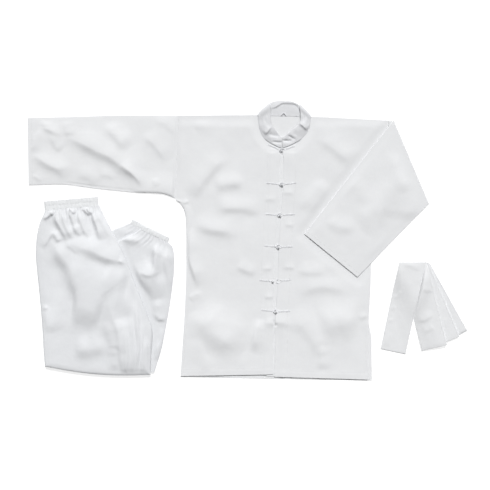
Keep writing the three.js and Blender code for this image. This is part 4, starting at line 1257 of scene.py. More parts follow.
    def sleeve_left(self) -> None:
        """The sleeve that turns over at a crease outside the armhole and lies on the front."""
        seam, crease, cuff = (
            np.array(line, float) for line in (SLEEVE_LEFT_SEAM, SLEEVE_LEFT_CREASE, SLEEVE_LEFT_CUFF)
        )
        along_crease = crease[1] - crease[0]
        out = np.array([-along_crease[1], along_crease[0]]) / np.linalg.norm(along_crease)
        under = np.linspace(0, 1, 16)[:-1]
        turning = np.radians(np.linspace(0, 180, 19))
        over_length = np.linalg.norm(cuff - crease, axis=1).mean()
        over = spread(over_length, FINE)[1:] / over_length
        first = np.concatenate([
            mix(seam[0], crease[0], under[:, None]),
            np.broadcast_to(crease[0], (len(turning), 2)),
            mix(crease[0], cuff[0], over[:, None]),
        ])
        second = np.concatenate([
            mix(seam[1], crease[1], under[:, None]),
            np.broadcast_to(crease[1], (len(turning), 2)),
            mix(crease[1], cuff[1], over[:, None]),
        ])
        angle = np.concatenate([np.zeros(len(under)), turning, np.full(len(over), math.pi)])[:, None]
        past = np.concatenate([np.zeros(len(under) + len(turning)), over * over_length])[:, None]
        tube = FlatTube(first, second)

        def skin(inset: float) -> Array:
            """One skin's rings. The wall that shows is the under one until the crease.

            Args:
                inset: how far it lies inside the outer skin.

            Returns:
                Rows of points in mm.
            """
            xy, share, half = tube.ring(inset)
            radius = TUBE / 2 + GAP / 2 + half
            xy = xy + out * (radius * np.sin(angle))[..., None]
            xy[0, :, 0] -= self.seam_overlap
            lies_on = 2 * np.maximum(self.on_body(xy), self.on_under_sleeve(xy)) + self.over_underlap(xy)
            base = LAYER * lies_on
            near_crease = smooth(past / 14)
            shows = tube.side > 0
            from_edge = np.minimum(share, 1 - share)
            free = smooth(past / 60) * smooth(from_edge / 0.12)
            relief = fold_relief(FOLDED_SLEEVE_FOLDS, xy, self.noise) + self.crumple(xy + 900.0, self.noise)
            air = free * np.maximum(1.8 + relief, 0) * mix(0.3, 1.0, smooth((over_length - past) / 40))
            hem = turned_hem(over_length - past, self.cuff_hem, share * self.cuff_width, self.noise)
            risen = air + np.maximum(hem, 0) * 0.7 * smooth(from_edge * 65)
            flat = base + TUBE / 2 + half + np.where(shows, risen, 0)
            turned = self.crease_height - radius * np.cos(angle)
            z = np.where(angle < math.pi - 0.01, turned, mix(turned, flat, near_crease))
            return raised(xy, z)

        outer, inner = skin(0.0), skin(WALL)
        length = lengths_along((first + second) / 2)
        uv = np.stack([np.broadcast_to(length[:, None], tube.d.shape), tube.d], -1) * MM
        piece = self.tube("sleeve_folded", outer, inner, uv)
        self.finish(piece, self.material, "cotton", "jacket_sleeve_left")


COLLAR_FRONT_RIGHT = (
    # seam, free edge, from the front end to the shoulder
    ((-5.6, -94, 3.1), (-6.0, -62, 4.6)),
    ((-24, -86, 3.0), (-19, -48, 6.2)),
    ((-44, -75, 3.0), (-29, -34, 7.2)),
    ((-60, -61, 3.0), (-35.5, -25, 8.4)),
    ((-69, -41, 3.1), (-38.5, -14, 9.2)),
    ((-74, -18, 3.4), (-39, 8, 9.6)),
)
COLLAR_BACK = (
    ((-58, 1.2, 1.5), (-33, 40.5, 1.9)),
    ((-30, -0.2, 1.4), (-17, 43, 2.2)),
    ((0, -0.6, 1.4), (1, 43, 2.4)),
    ((30, -1.4, 1.4), (22, 42, 2.2)),
    ((60, -3, 1.5), (37, 36, 1.9)),
)
COLLAR_FRONT_LEFT = (
    ((77, -19, 3.4), (47, 8, 9.6)),
    ((73, -36, 3.1), (47, -12, 9.2)),
    ((64, -52, 3.0), (41, -26, 8.4)),
    ((48, -68, 3.0), (27, -37, 7.2)),
    ((30, -79, 3.0), (12, -49, 6.4)),
    ((12, -87, 3.0), (1, -58, 5.2)),
    ((-4.5, -92.8, 3.1), (-4.9, -62, 4.6)),
)
COLLAR_SHOULDER_RIGHT = ((-76, 3), (-40, 35), 135)
COLLAR_SHOULDER_LEFT = ((78, -2.5), (45, 30), 45)
COLLAR_FOLDS = (
    # the right side's end, and the shaded inside of the band in the corner below it
    Fold(((-56, -56), (-46, -46), (-35, -30)), 4.6, 14, 2.6, 1.3),
    Fold(((-46, -52), (-28, -59), (-9, -58)), -5.0, 12, 5, 1.5),
    # the left side's end, the shaded stretch below it and the crease that ends that
    Fold(((43, -20), (55, -31), (68, -43)), 5.0, 14, 3.0, 1.3),
    Fold(((9, -55), (22, -62), (36, -70)), -4.2, 3.0, 11, 1.3),
    Fold(((20, -52), (36, -56), (52, -64)), -2.0, 14, 8, 1.6),
    # level creases across the front ends
    Fold(((-38, -76), (-18, -77), (0, -76)), -3.8, 3.0, 4.5, 1.3),
    Fold(((-6, -70), (8, -71), (25, -71)), -4.0, 2.6, 4.5, 1.4),
    Fold(((-40, -68), (-26, -68), (-10, -67)), -1.0, 3, 3),
    # lengthwise creases along the two sides
    Fold(((-64, 8), (-66, -8), (-63, -30)), -1.6, 5, 3, 1.5),
    Fold(((-55, 18), (-56, -6), (-49, -26)), -1.8, 5, 3, 1.5),
    Fold(((-46, 26), (-48, 4), (-42, -20)), -1.2, 4, 3, 1.5),
    Fold(((58, 12), (68, -10), (66, -34)), -1.6, 5, 3, 1.5),
    Fold(((50, 20), (58, -4), (56, -24)), -1.6, 5, 3, 1.5),
    # the free edge rolls outwards behind the neck
    Fold(
        ((-41, 21), (-36, 22), (-24, 26), (-14, 33), (-3, 38.5), (24, 37), (36, 32), (42, 25), (45, 16)),
        4.6, 12, 2.0, 1.6,
    ),
)


@dataclass
class Collar(Garment):
    """The stand-up band: flat behind the neck, turned at the shoulders, leaning in at the front."""

    cord: Material
    cords: Tree
    seed: int = field(default=23, kw_only=True)
    bow: float = 2.6  # the band bellies between its seam and its free edge
    end_bow: float = 1.4  # less so at its front ends
    back_bow: float = 0.7  # less so where it lies flat behind the neck
    edge_roll: float = 3.0  # the free edge turns down over this much
    seam_radius: tuple = (1.9, 2.5)
    edge_radius: tuple = (4.0, 5.2)
    height: float = 43.0
    spacing: float = 2.0

    def turn(self, shoulder: tuple, angles: Sequence[float]) -> list[list[float]]:
        """The band's rows where it turns over at a shoulder.

        Args:
            shoulder: where its seam and its edge turn, and the way out in degrees.
            angles: the turn's angles, 90 at the top.

        Returns:
            Rows of the seam's point and the edge's.
        """
        seam, edge, out = shoulder
        rows = []
        for angle in np.radians(angles):
            row = []
            for (x, y), (radius, centre) in ((seam, self.seam_radius), (edge, self.edge_radius)):
                reach = radius * math.cos(angle)
                row += [
                    x + reach * math.cos(math.radians(out)),
                    y + reach * math.sin(math.radians(out)),
                    centre + radius * math.sin(angle),
                ]
            rows.append(row)
        return rows

    def build(self) -> None:
        """Makes the band."""
        turned = np.linspace(60, -30, 8)
        rows = [[*seam, *edge] for seam, edge in COLLAR_FRONT_RIGHT]
        rows += self.turn(COLLAR_SHOULDER_RIGHT, turned)
        rows += [[*seam, *edge] for seam, edge in COLLAR_BACK]
        rows += self.turn(COLLAR_SHOULDER_LEFT, turned[::-1])
        rows += [[*seam, *edge] for seam, edge in COLLAR_FRONT_LEFT]
        course = EvenCurve(rows)
        along = spread(course.length, self.spacing)
        lines = course(along)
        share = spread(self.height, self.spacing) / self.height
        seam, edge = lines[:, None, :3], lines[:, None, 3:]
        middle = seam + (edge - seam) * share[None, :, None]
        behind = smooth((middle[..., 1] + 4) / 8) * smooth((52 - np.abs(middle[..., 0] - 2)) / 12)
        behind = behind * (middle[..., 2] < 4.0)
        from_end = np.minimum(along, course.length - along)
        bow = mix(self.end_bow, self.bow, smooth((from_end - 12) / 50))[:, None]
        middle[..., 2] += mix(bow, self.back_bow, behind) * np.sin(math.pi * share) ** 1.15
        above = np.maximum(smooth((middle[..., 2] - 3.2) / 1.6), behind * 0.7)
        relief = fold_relief(COLLAR_FOLDS, middle[..., :2], self.noise)
        relief = relief + 0.5 * self.noise(middle[..., :2], 14.0)
        rolled = self.edge_roll * (1 - rounded((1 - share) * self.height / self.edge_roll)) * (1 - behind)
        middle[..., 2] = np.maximum(middle[..., 2] + relief * above - rolled, mix(0.62, 1.5, behind))
        from_edge = np.minimum(share, 1 - share) * self.height
        near = np.minimum(from_end[:, None], from_edge[None])
        half = half_wall(near)
        across_band = share * self.height
        stitched = 0.22 * bump_at((1 - share) * self.height - 5.0, 1.6)
        stitched = stitched + 0.2 * bump_at(across_band - 4.0, 1.6)
        normal = normals_of(middle)
        upper = middle + normal * (half - stitched)[..., None]
        lower = middle - normal * half[..., None]
        uv = np.stack(np.broadcast_arrays(along[:, None], across_band), -1) * MM
        piece = shell("collar_band", self.world(upper), self.world(lower), uv)
        self.finish(piece, self.material, "cotton", "jacket_collar")

    def loop(self) -> None:
        """The narrow loop at the back of the neck, by which the jacket hangs."""
        rows = ((-10, -0.5), (-6, 3.4), (-1, 8.2), (3, 4.2), (7, -0.5))
        band = Surface(self.made["collar_band"])
        path = band.lay(self.world(Curve(rows)(np.linspace(0, 1, 25))), 0.0)
        path[:, 2] += 0.0006 + 0.0022 * np.sin(np.linspace(0, math.pi, len(path)))
        sizes = {"Radius": 0.001, "Sides": 10, "Material": self.cord}
        piece = follow("hanging_loop", [path], [False], self.cords, **sizes)
        self.finish(piece, self.cord, "cord", "jacket_hanging_loop")


@dataclass(frozen=True)
class Frog:
    """One fastening: where its knot lies, how far its two arms reach, and its open eye if any."""

    knot: tuple[float, float]
    knot_arm: tuple[float, float]
    loop_arm: tuple[float, float]
    eye: tuple[float, float] | None = None


FROGS = (
    Frog((-7, -100.5), (-46, -83), (32, -87.5)),
    Frog((-6, -199), (-51, -194.5), (35, -194)),
    Frog((-12, -288), (-53, -285), (31, -285)),
    Frog((-16, -380), (-57, -376), (25, -379)),
    Frog((-33, -479), (-71, -476), (20, -475), (-16, -479)),
    Frog((-23, -567), (-65, -562), (18, -565)),
)


@dataclass
class Frogs(Garment):
    """The six fastenings: each a knotted cord with its doubled arm, and a looped one."""

    cords: Tree
    cloth: Surface  # the two fronts
    cord_radius: float = 1.0  # radius of the rolled cord
    half_pair: float = 1.1  # from a pair's middle to each of its two cords
    knot_radius: float = 2.3  # of the ball that the knot's cord is wound on
    knot_cord: float = 1.1
    eye_radius: float = 6.0  # radius of the loop's eye at the cord's middle
    over_arm: float = 3.0  # how far the eye rises where it crosses the knot's arm

    def level(self, x: float, y: float, reach: float = 2.0) -> float:
        """The highest cloth near a point, all in the jacket's mm.

        Args:
            x: where the point is.
            y: the same, towards the collar.
            reach: how far round it counts.

        Returns:
            The height.
        """
        heights = []
        for dx, dy in ((0, 0), (reach, 0), (-reach, 0), (0, reach), (0, -reach)):
            at = self.world(np.array([x + dx, y + dy]))
            found = self.cloth.height(at[0], at[1])
            if found is not None:
                heights.append(found / MM)
        return max(heights, default=LAYER + WALL)

    def course(self, start: tuple, end: tuple, points: Sequence[tuple], lifted: Callable) -> Array:
        """Lays a cord's points on the cloth.

        Args:
            start: where the arm starts.
            end: where it ends.
            points: along the arm and across it.
            lifted: how much higher than the cloth a point lies.

        Returns:
            The path in metres.
        """
        begin = np.array(start, float)
        along = np.array(end, float) - begin
        along /= np.linalg.norm(along)
        over = np.array([-along[1], along[0]])
        path = []
        for a, c in points:
            x, y = begin + along * a + over * c
            path.append((x, y, self.level(x, y) - 0.15 * self.cord_radius + lifted(x, y)))
        heights = np.array(path)
        kernel = np.ones(3) / 3
        padded = np.concatenate([heights[:1], heights, heights[-1:]])[:, 2]
        heights[:, 2] = np.maximum(heights[:, 2], np.convolve(padded, kernel, mode="valid"))
        return self.world(heights)

    def hairpin(self, length: float, begin: float) -> list[tuple[float, float]]:
        """A doubled cord's points: out to the arm's end on one side and back on the other.

        Args:
            length: the arm's length.
            begin: how far along the arm it starts.

        Returns:
            Points along the arm and across it.
        """
        end = length - self.half_pair
        out = [(a, self.half_pair) for a in np.linspace(begin, end, 14)]
        tip = [
            (end + self.half_pair * math.sin(angle), self.half_pair * math.cos(angle))
            for angle in np.linspace(0, math.pi, 9)[1:-1]
        ]
        return out + tip + [(a, -c) for a, c in reversed(out)]

    def knot(self, index: int, frog: Frog) -> None:
        """The button knot with its arm.

        Args:
            index: the fastening's number from the collar down.
            frog: the fastening.
        """
        length = math.dist(frog.knot, frog.knot_arm)
        arm = self.course(frog.knot, frog.knot_arm, self.hairpin(length, 3.2), lambda x, y: 0.0)
        base = self.level(*frog.knot, 4.0)
        t = np.linspace(0, 2 * math.pi, 72, endpoint=False)
        # Three strands wound four times round a ball, over and under each other.
        radius = self.knot_radius + 0.55 * np.sin(8 * t)
        latitude = 0.95 * np.cos(4 * t)
        ball = np.stack([
            frog.knot[0] + radius * np.cos(latitude) * np.cos(3 * t),
            frog.knot[1] + radius * np.cos(latitude) * np.sin(3 * t),
            base + 0.3 + self.knot_radius + self.knot_cord + radius * np.sin(latitude),
        ], -1)
        piece = follow(
            f"frog_{index}_knotted_cord", [arm, self.world(ball)], [False, True], self.cords,
            Radius=self.cord_radius * MM, Sides=10, Material=self.material,
        )
        self.finish(piece, self.material, "cord", f"frog_{index}_knot")

    def loop(self, index: int, frog: Frog) -> None:
        """The loop: a cord round the knot and back along its arm.

        Args:
            index: the fastening's number from the collar down.
            frog: the fastening.
        """
        start = frog.eye or frog.knot
        length = math.dist(start, frog.loop_arm)
        pair = self.hairpin(length, self.eye_radius + 3.0)
        first, last = math.radians(28), math.radians(332)
        turns = np.linspace(last, first, 25)
        eye = [(self.eye_radius * math.cos(a), self.eye_radius * math.sin(a)) for a in turns]
        points = pair + eye
        towards = np.array(frog.knot_arm, float) - frog.knot
        towards /= np.linalg.norm(towards)

        def lifted(x: float, y: float) -> float:
            """How far the eye rises over the knot's own arm.

            Args:
                x: where a point of the eye is.
                y: the same, towards the collar.

            Returns:
                The rise in mm.
            """
            if frog.eye:
                return 0.0
            share = float(np.dot(np.array([x, y]) - frog.knot, towards)) / self.eye_radius
            return float(self.over_arm * smooth(np.array(share / 0.8)))

        path = self.course(start, frog.loop_arm, points, lifted)
        piece = follow(
            f"frog_{index}_looped_cord", [path], [True], self.cords,
            Radius=self.cord_radius * MM, Sides=10, Material=self.material,
        )
        self.finish(piece, self.material, "cord", f"frog_{index}_loop")


# TROUSERS

THIGH_ROWS = (
    # outer edge, inner edge, from under the waistband to the fold at the knee
    ((-76.5, -35.3), (82.5, -21.4)),
    ((-91, -67), (99, -55)),
    ((-100, -107), (120, -96)),
    ((-103, -160), (147, -147)),
    ((-99, -212), (167, -195)),
    ((-93, -270), (189, -255)),
    ((-88, -325), (214, -316)),
    ((-83, -386), (235, -380)),
    ((-79, -438), (232, -444)),
    ((-75, -484), (230, -508)),
)
ANKLE_LEFT = ((205, -75), (288, -113))
ANKLE_RIGHT = ((174, -57), (257, -97))
LOWER_LEFT_ROWS = (
    # outer edge, inner edge, from the knee to above the ankle
    ((-66, -478), (240, -502)),
    ((-33, -365), (262, -430)),
    ((10, -264), (284, -314)),
    ((54, -183), (296, -225)),
    ((97, -141), (298, -182)),
    ((140, -121), (297, -156)),
    ((180, -101), (293, -138)),
)
LOWER_RIGHT_ROWS = (
    ((-69, -476), (236, -500)),
    ((-37, -365), (252, -430)),
    ((2, -264), (268, -314)),
    ((42, -177), (276, -225)),
    ((83, -122), (276, -172)),
    ((122, -89), (270, -142)),
    ((150, -78), (264, -124)),
)
THIGH_FOLDS = (
    # gathers that run down from the waistband
    Fold(((-88, -58), (-70, -52), (-52, -36)), 3.0, 9, 4, 1.4),
    Fold(((-62, -34), (-50, -46)), 3.2, 8, 4, 1.4),
    Fold(((-44, -26), (-41, -58), (-30, -78), (-18, -102), (-12, -126)), 5.4, 14, 7, 1.5),
    Fold(((-33, -22), (-20, -56), (-13, -80), (-2, -100), (6, -118)), 5.0, 13, 7, 1.5),
    Fold(((-12, -22), (2, -52), (12, -84), (20, -104)), 4.6, 11, 6, 1.5),
    Fold(((-3, -26), (11, -44)), 3.6, 8, 4, 1.4),
    Fold(((8, -76), (18, -94), (30, -108)), 3.8, 12, 7, 1.5),
    Fold(((18, -30), (27, -64), (39, -92), (56, -112)), 5.6, 16, 8, 1.5),
    Fold(((32, -25), (56, -50)), 3.4, 9, 4, 1.3),
    Fold(((42, -25), (64, -46)), 3.4, 9, 4, 1.3),
    Fold(((61, -30), (72, -66), (82, -92), (86, -122)), 7.0, 18, 7, 1.4),
    Fold(((80, -26), (92, -54), (110, -84), (128, -114)), 3.8, 16, 10),
    Fold(((-50, -92), (-40, -112), (-34, -128)), 3.0, 12, 7, 1.5),
    # a pressed line near the outer edge
    Fold(((-43, -84), (-63, -114), (-84, -146)), 2.2, 5, 14, 1.2),
    # the deep flank down the thigh and the ridges beside it
    Fold(
        ((-66, -116), (-34, -152), (-6, -186), (14, -224), (31, -264), (52, -306), (76, -330)),
        13.0, 54, 19, 1.6,
    ),
    Fold(((-26, -122), (14, -134), (50, -144), (88, -162), (128, -178), (166, -188)), 9.0, 34, 13, 1.5),
    Fold(((-14, -132), (6, -142), (24, -158)), 2.6, 12, 5, 1.4),
    Fold(((136, -179), (158, -186), (174, -198)), 3.6, 12, 6, 1.3),
    Fold(((146, -412), (124, -350), (108, -286), (98, -226), (92, -172)), 5.4, 44, 16, 1.4),
    Fold(((90, -224), (124, -236), (166, -244)), 6.4, 40, 46),
    Fold(((4, -304), (50, -312), (96, -322)), 9.5, 60, 40),
    Fold(((112, -300), (146, -300), (184, -294)), 3.6, 34, 44),
    Fold(((100, -344), (118, -384), (128, -420), (134, -452)), 3.6, 34, 20),
    Fold(((6, -430), (56, -432), (108, -412)), 3.6, 34, 22),
    Fold(((-92, -316), (-80, -318), (-66, -314)), 1.6, 8, 5, 1.5),
    Fold(((-92, -336), (-70, -350), (-50, -390)), 2.2, 30, 24),
    # lengthwise creases beside the inner edge
    Fold(((130, -344), (142, -400), (151, -520)), 5.0, 30, 9, 1.5),
    Fold(((159, -520), (164, -440), (158, -352)), 3.8, 9, 6, 1.4),
    Fold(((176, -520), (180, -430), (174, -322)), 3.6, 8, 5, 1.4),
    Fold(((190, -510), (196, -400), (186, -282)), 4.6, 9, 5, 1.4),
    Fold(((207, -520), (210, -441), (205, -350)), 3.4, 7, 5, 1.4),
    Fold(((222, -520), (221, -451), (216, -395)), 3.2, 6, 4, 1.4),
    Fold(((125, -500), (130, -460), (133, -430)), 2.2, 18, 10),
    Fold(((196, -262), (208, -300), (222, -356)), 3.8, 8, 4, 1.3),
)
LOWER_LEG_FOLDS = (
    # the edge of the leg's own fold, below its ankle
    Fold(((116, -96), (147, -78), (180, -70), (212, -68)), 4.4, 22, 9, 1.5),
    Fold(((126, -122), (160, -116), (186, -100), (208, -74)), 4.2, 8, 4, 1.2),
    Fold(((148, -116), (178, -112), (216, -104)), 6.5, 20, 13, 1.6),
    Fold(((217, -80), (229, -104), (228, -126)), 4.8, 16, 9, 1.5),
    Fold(((236, -70), (244, -114), (246, -160), (242, -204), (234, -250)), 8.4, 20, 9, 1.4),
    Fold(((198, -212), (226, -222), (256, -208)), 3.8, 12, 5, 1.4),
    Fold(((243, -100), (256, -122), (254, -160)), 3.0, 12, 7, 1.4),
    Fold(((264, -96), (280, -140), (277, -184), (286, -240), (284, -290)), 8.4, 18, 9, 1.5),
    Fold(((289, -119), (295, -156), (294, -198)), 3.0, 9, 5, 1.4),
    Fold(((190, -238), (217, -223), (248, -208)), 4.4, 34, 26),
    Fold(((212, -262), (246, -250), (284, -250)), 5.4, 26, 34),
    Fold(((248, -352), (262, -348), (276, -350)), 4.0, 10, 4, 1.4),
    Fold(((260, -372), (264, -402), (250, -430), (232, -464)), 7.4, 18, 8, 1.5),
    Fold(((210, -388), (227, -416), (226, -462)), 3.8, 12, 7, 1.4),
    Fold(((215, -364), (226, -376), (235, -392)), 4.0, 8, 4, 1.4),
    Fold(((230, -466), (252, -451), (264, -418)), 5.6, 12, 5, 1.4),
    Fold(((246, -288), (256, -325), (248, -355)), 3.8, 20, 14),
)


@dataclass
class Trousers(Garment):
    """The trousers, folded lengthwise and then at the knee, with their elastic waist and ankles."""

    elastic: Material
    seed: int = field(default=37, kw_only=True)
    waist_quarter: float = 160.0
    waistband_height: float = 28.0
    waist_rise: float = 14.0  # of the waistband's right end over its left one
    waist_gathers: int = 15
    cuff_quarter: float = 92.0
    ankle_band_height: float = 14.0
    ankle_gathers: int = 9
    band_pitch: float = 2.4  # from one layer of a gathered band to the next
    band_wave: float = 1.1
    ankle_height: float = band_pitch + 1.8 + WALL  # of a gathered ankle, its waves included
    upper_ankle_lift: float = ankle_height + 2 * GAP
    leg_air: float = 1.4
    puff: float = 2.6  # how much higher a lower leg lies where nothing presses it
    leg_height: float = TUBE + leg_air
    hidden_layers: int = 3
    hidden_height: float = 5.1
    ledge: float = 1.6  # how far each hidden layer is stepped back from the one below it
    hidden_inset: float = 4.5  # of the lowest one from the top layer's edge
    stack_height: float = 2.2
    knee_sag: float = 11.0
    into_band: float = 1.6  # how far the top layer reaches into the waistband's seam
    depth: float = 2.15  # of all its folds
    highest_fold: float = 17.8
    roll: float = 7.0  # how far in from its edge the top layer starts to turn down
    crumple: Crumple = Crumple(2.0, 0.6, 0.14)

    def __post_init__(self) -> None:
        """Works out what lies on what."""
        super().__post_init__()
        self.outer = Curve([row[0] for row in THIGH_ROWS])
        self.inner = Curve([row[1] for row in THIGH_ROWS])
        self.legs = {}
        lower_legs = ("right", LOWER_RIGHT_ROWS, ANKLE_RIGHT), ("left", LOWER_LEFT_ROWS, ANKLE_LEFT)
        for name, rows, ankle in lower_legs:
            a, b, down = self.ankle_seam(ankle)
            edges = Curve([row[0] for row in rows] + [a]), Curve([row[1] for row in rows] + [b])
            self.legs[name] = (*edges, a, down)
        right, left = (outline_of(*self.legs[name][:2]) for name in ("right", "left"))
        thigh = outline_of(self.outer, self.inner)
        self.over_legs = [covers(right, 12, 40), covers(left, 12, 40)]
        self.on_lower_right = covers(right, 6, 26)
        self.under_thigh = covers(thigh, 4, 18)
        self.under_upper_leg = covers(left, 4, 18)

    def ankle_seam(self, ankle: tuple) -> tuple[Array, Array, Array]:
        """The seam between a leg and its gathered ankle.

        Args:
            ankle: the two ends of the leg's opening.

        Returns:
            The seam's two ends and the way down the leg.
        """
        a, b = (np.array(p, float) for p in ankle)
        along = (b - a) / np.linalg.norm(b - a)
        down = np.array([along[1], -along[0]])
        shift = down * (self.ankle_band_height + GAP)
        return a + shift, b + shift, down

    def from_ankle(self, name: str, xy: Array) -> Array:
        """How far down the leg each point is from its ankle's seam."""
        _, _, start, down = self.legs[name]
        return (xy - start) @ down

    def settled(self, relief: Array) -> Array:
        """The folds' full depth, with the highest of them pressed down by the cloth's weight."""
        return self.highest_fold * np.tanh(self.depth * relief / self.highest_fold)

    def on_legs(self, xy: Array) -> Array:
        """How high the two lower legs lift what lies on them."""
        return (self.leg_height + GAP) * sum(over(xy) for over in self.over_legs)

    def lower_leg(self, name: str) -> None:
        """A lower leg: a flat tube from the knee to the ankle, puffed where nothing presses it.

        Args:
            name: right for the one on the floor, left for the one on it.
        """
        outer_edge, inner_edge = self.legs[name][:2]
        grid = Grid.between(outer_edge, inner_edge, FINE)
        tube = FlatTube(grid.xy[:, 0], grid.xy[:, -1])
        is_upper = name == "left"

        def skin(inset: float) -> Array:
            """One skin's rings.

            Args:
                inset: how far it lies inside the outer skin.

            Returns:
                Rows of points in mm.
            """
            xy, share, half = tube.ring(inset)
            from_seam = self.from_ankle(name, xy)
            if is_upper:
                pressed = self.under_thigh(xy)
                on_leg = (self.leg_height + GAP) * self.on_lower_right(xy)
                base = mix(self.upper_ankle_lift, on_leg, smooth(from_seam / 48))
            else:
                pressed = np.maximum(self.under_thigh(xy), self.under_upper_leg(xy))
                base = 0.0
            near_ankle = 1 - smooth(from_seam / 44)
            free = (1 - pressed) * (1 - near_ankle)
            gathers = self.gathers(share * self.cuff_quarter, self.ankle_gathers, self.cuff_quarter)
            relief = self.settled(fold_relief(LOWER_LEG_FOLDS, xy, self.noise)) + self.crumple(xy, self.noise)
            relief = relief + 1.0 * gathers * (1 - smooth(from_seam / 60))
            full_height = self.puff * smooth((xy[..., 1] + 260) / 150)
            loose = self.leg_air + free * np.maximum(full_height + relief, -self.leg_air + 0.2)
            at_band = self.ankle_height - TUBE - 1.0 + 0.9 * gathers
            air = mix(loose, at_band, near_ankle * (1 - pressed))
            shows = tube.side > 0
            z = base + TUBE / 2 + half + np.where(shows, tube.fullness(share) * air, 0)
            return raised(xy, z)

        outer, inner = skin(0.0), skin(WALL)
        piece = self.tube(f"lower_leg_{name}", outer, inner, threads_at(outer[..., :2], -35.0))
        self.finish(piece, self.material, "trouser_cotton", f"trousers_lower_leg_{name}")

    def gathers(self, along: Array, count: int, width: float) -> Array:
        """Uneven gathers along a band.

        Args:
            along: distances along it.
            count: how many gathers it has.
            width: its width.

        Returns:
            Heights from about -1 to 1.
        """
        places = np.stack([along, np.zeros_like(along)], -1)
        shifted = along + 4.6 * self.noise(places + 7.0, 19.0)
        return np.sin(2 * math.pi * count * shifted / width) * (0.7 + 0.7 * self.noise(places + 50.0, 11.0))

    def thigh_grid(self, spacing: float, lines: Sequence[float], inset: float = 0.0) -> Grid:
        """Points over the folded thigh, with the bow of the fold at the knee.

        Args:
            spacing: the distance from one point to the next.
            lines: distances of the lines near the edges.
            inset: how far in from the edges the grid starts.

        Returns:
            The grid.
        """
        grid = Grid.between(self.outer, self.inner, spacing, lines)
        width = (grid.left + grid.right)[:, :1]
        length = grid.start + grid.end
        share = grid.left / width
        down = grid.start / length
        if inset:
            middle = grid.xy[:, len(grid.xy[0]) // 2][:, None]
            grid.xy = middle + (grid.xy - middle) * (1 - 2 * inset / width)[..., None]
            grid.xy[..., 1] = mix(grid.xy[..., 1], grid.xy[..., 1] + inset, down)
        grid.xy[..., 1] -= self.knee_sag * np.sin(math.pi * share) * down**4
        return grid

    def waist_stack(self, xy: Array) -> Array:
        """How much the gathers thicken the hidden layers towards the waist."""
        return smooth((xy[..., 1] + 130) / 90) * self.stack_height

    def thigh(self) -> None:
        """The top layer, which turns down round the stack at its edges."""
        lines = (0.0, 0.15, 0.4, 0.8, 1.3, 2.0, 3.0, 4.2, 5.8, 8.0)
        grid = self.thigh_grid(2.8, lines)
        xy = grid.xy
        xy[..., 1] += self.into_band * (1 - smooth(grid.start / 8))
        edge = np.minimum(np.minimum(grid.left, grid.right), grid.end)
        full = rounded(edge / self.roll)
        rising = smooth(edge / 18)
        along_band = xy[..., 0] + 0.09 * xy[..., 1] + self.waist_quarter / 2
        near_band = smooth((xy[..., 1] + 78) / 44)
        gathers = self.gathers(along_band, self.waist_gathers, self.waist_quarter) * near_band
        relief = self.settled(fold_relief(THIGH_FOLDS, xy, self.noise)) + self.crumple(xy, self.noise)
        air = 0.5 + rising * np.maximum(1.4 + relief + 1.5 * (gathers + 0.6 * near_band), 0.0)
        low = self.on_legs(xy) + WALL / 2 + GAP
        height = full * (self.hidden_height + self.waist_stack(xy) + air)
        middle = raised(xy, low + height)
        # Below the top layer's own turn the flank shows the folds of the layers under it.
        flank = 1 - smooth((edge - 1.5) / 3.0)
        tucked = 0.7 * flank * np.abs(np.cos(math.pi * height / 2.1))
        middle[..., 0] += tucked * np.where(grid.left < grid.right, 1.0, -1.0) * (grid.end > 3)
        half = half_wall(edge)[..., None]
        normal = normals_of(middle)
        upper, lower = middle + normal * half, middle - normal * half
        piece = shell("thigh_panel", self.world(upper), self.world(lower), threads_at(xy, -4.0))
        self.finish(piece, self.material, "trouser_cotton", "trousers_thigh")

    def folded_layers(self) -> None:
        """The hidden layers of the seat and thighs, stepped back at each edge."""
        ledges = [layer * self.ledge for layer in range(self.hidden_layers)]
        steps = [ledge + d for ledge in ledges for d in (0.0, 0.2, 0.6, 1.2)]
        grid = self.thigh_grid(COARSE, (*steps, ledges[-1] + self.ledge + 1), inset=self.hidden_inset)
        edge = np.minimum(np.minimum(grid.left, grid.right), grid.end)
        layer = self.hidden_height / self.hidden_layers
        stack = sum(layer * rounded((edge - ledge) / (0.6 * layer)) for ledge in ledges)
        base = self.on_legs(grid.xy)
        top = base + (stack + 0.05) * (1 + self.waist_stack(grid.xy) / self.hidden_height)
        upper, lower = self.world(raised(grid.xy, top)), self.world(raised(grid.xy, base))
        piece = shell("folded_layers", upper, lower, threads_at(grid.xy, -4.0))
        self.finish(piece, self.material, "trouser_cotton", "trousers_folded_layers")

    def band_line(self, width: float, layers: int, count: int) -> tuple[Array, Array]:
        """A gathered band's closed section: its layers, of which the last shows its gathers.

        Args:
            width: the band's width.
            layers: 2, or 4 where it is folded once more.
            count: how many points the layer that shows has.

        Returns:
            The section's points, across and up, and how much of the gathers each one takes.
        """
        end = width / 2 - 5
        level = [WALL / 2 + layer * self.band_pitch for layer in range(layers)]
        top = layers - 1

        def bend(x: float, side: int, upper: int, lower: int) -> list[tuple[float, float]]:
            """Points round a bend from one layer down to another.

            Args:
                x: where the layers end.
                side: 1 for the right end, -1 for the left.
                upper: the layer above.
                lower: the layer below.

            Returns:
                Points across and up.
            """
            radius = (level[upper] - level[lower]) / 2
            reach = min(3.6, radius * 1.3)
            return [
                (x + side * reach * math.cos(a), level[lower] + radius * (1 + math.sin(a)))
                for a in np.radians(np.linspace(70, -70, 9))
            ]

        def run(start: float, stop: float, layer: int) -> list[tuple[float, float]]:
            """A hidden layer's points."""
            return [(x, level[layer]) for x in np.linspace(start, stop, 12)]

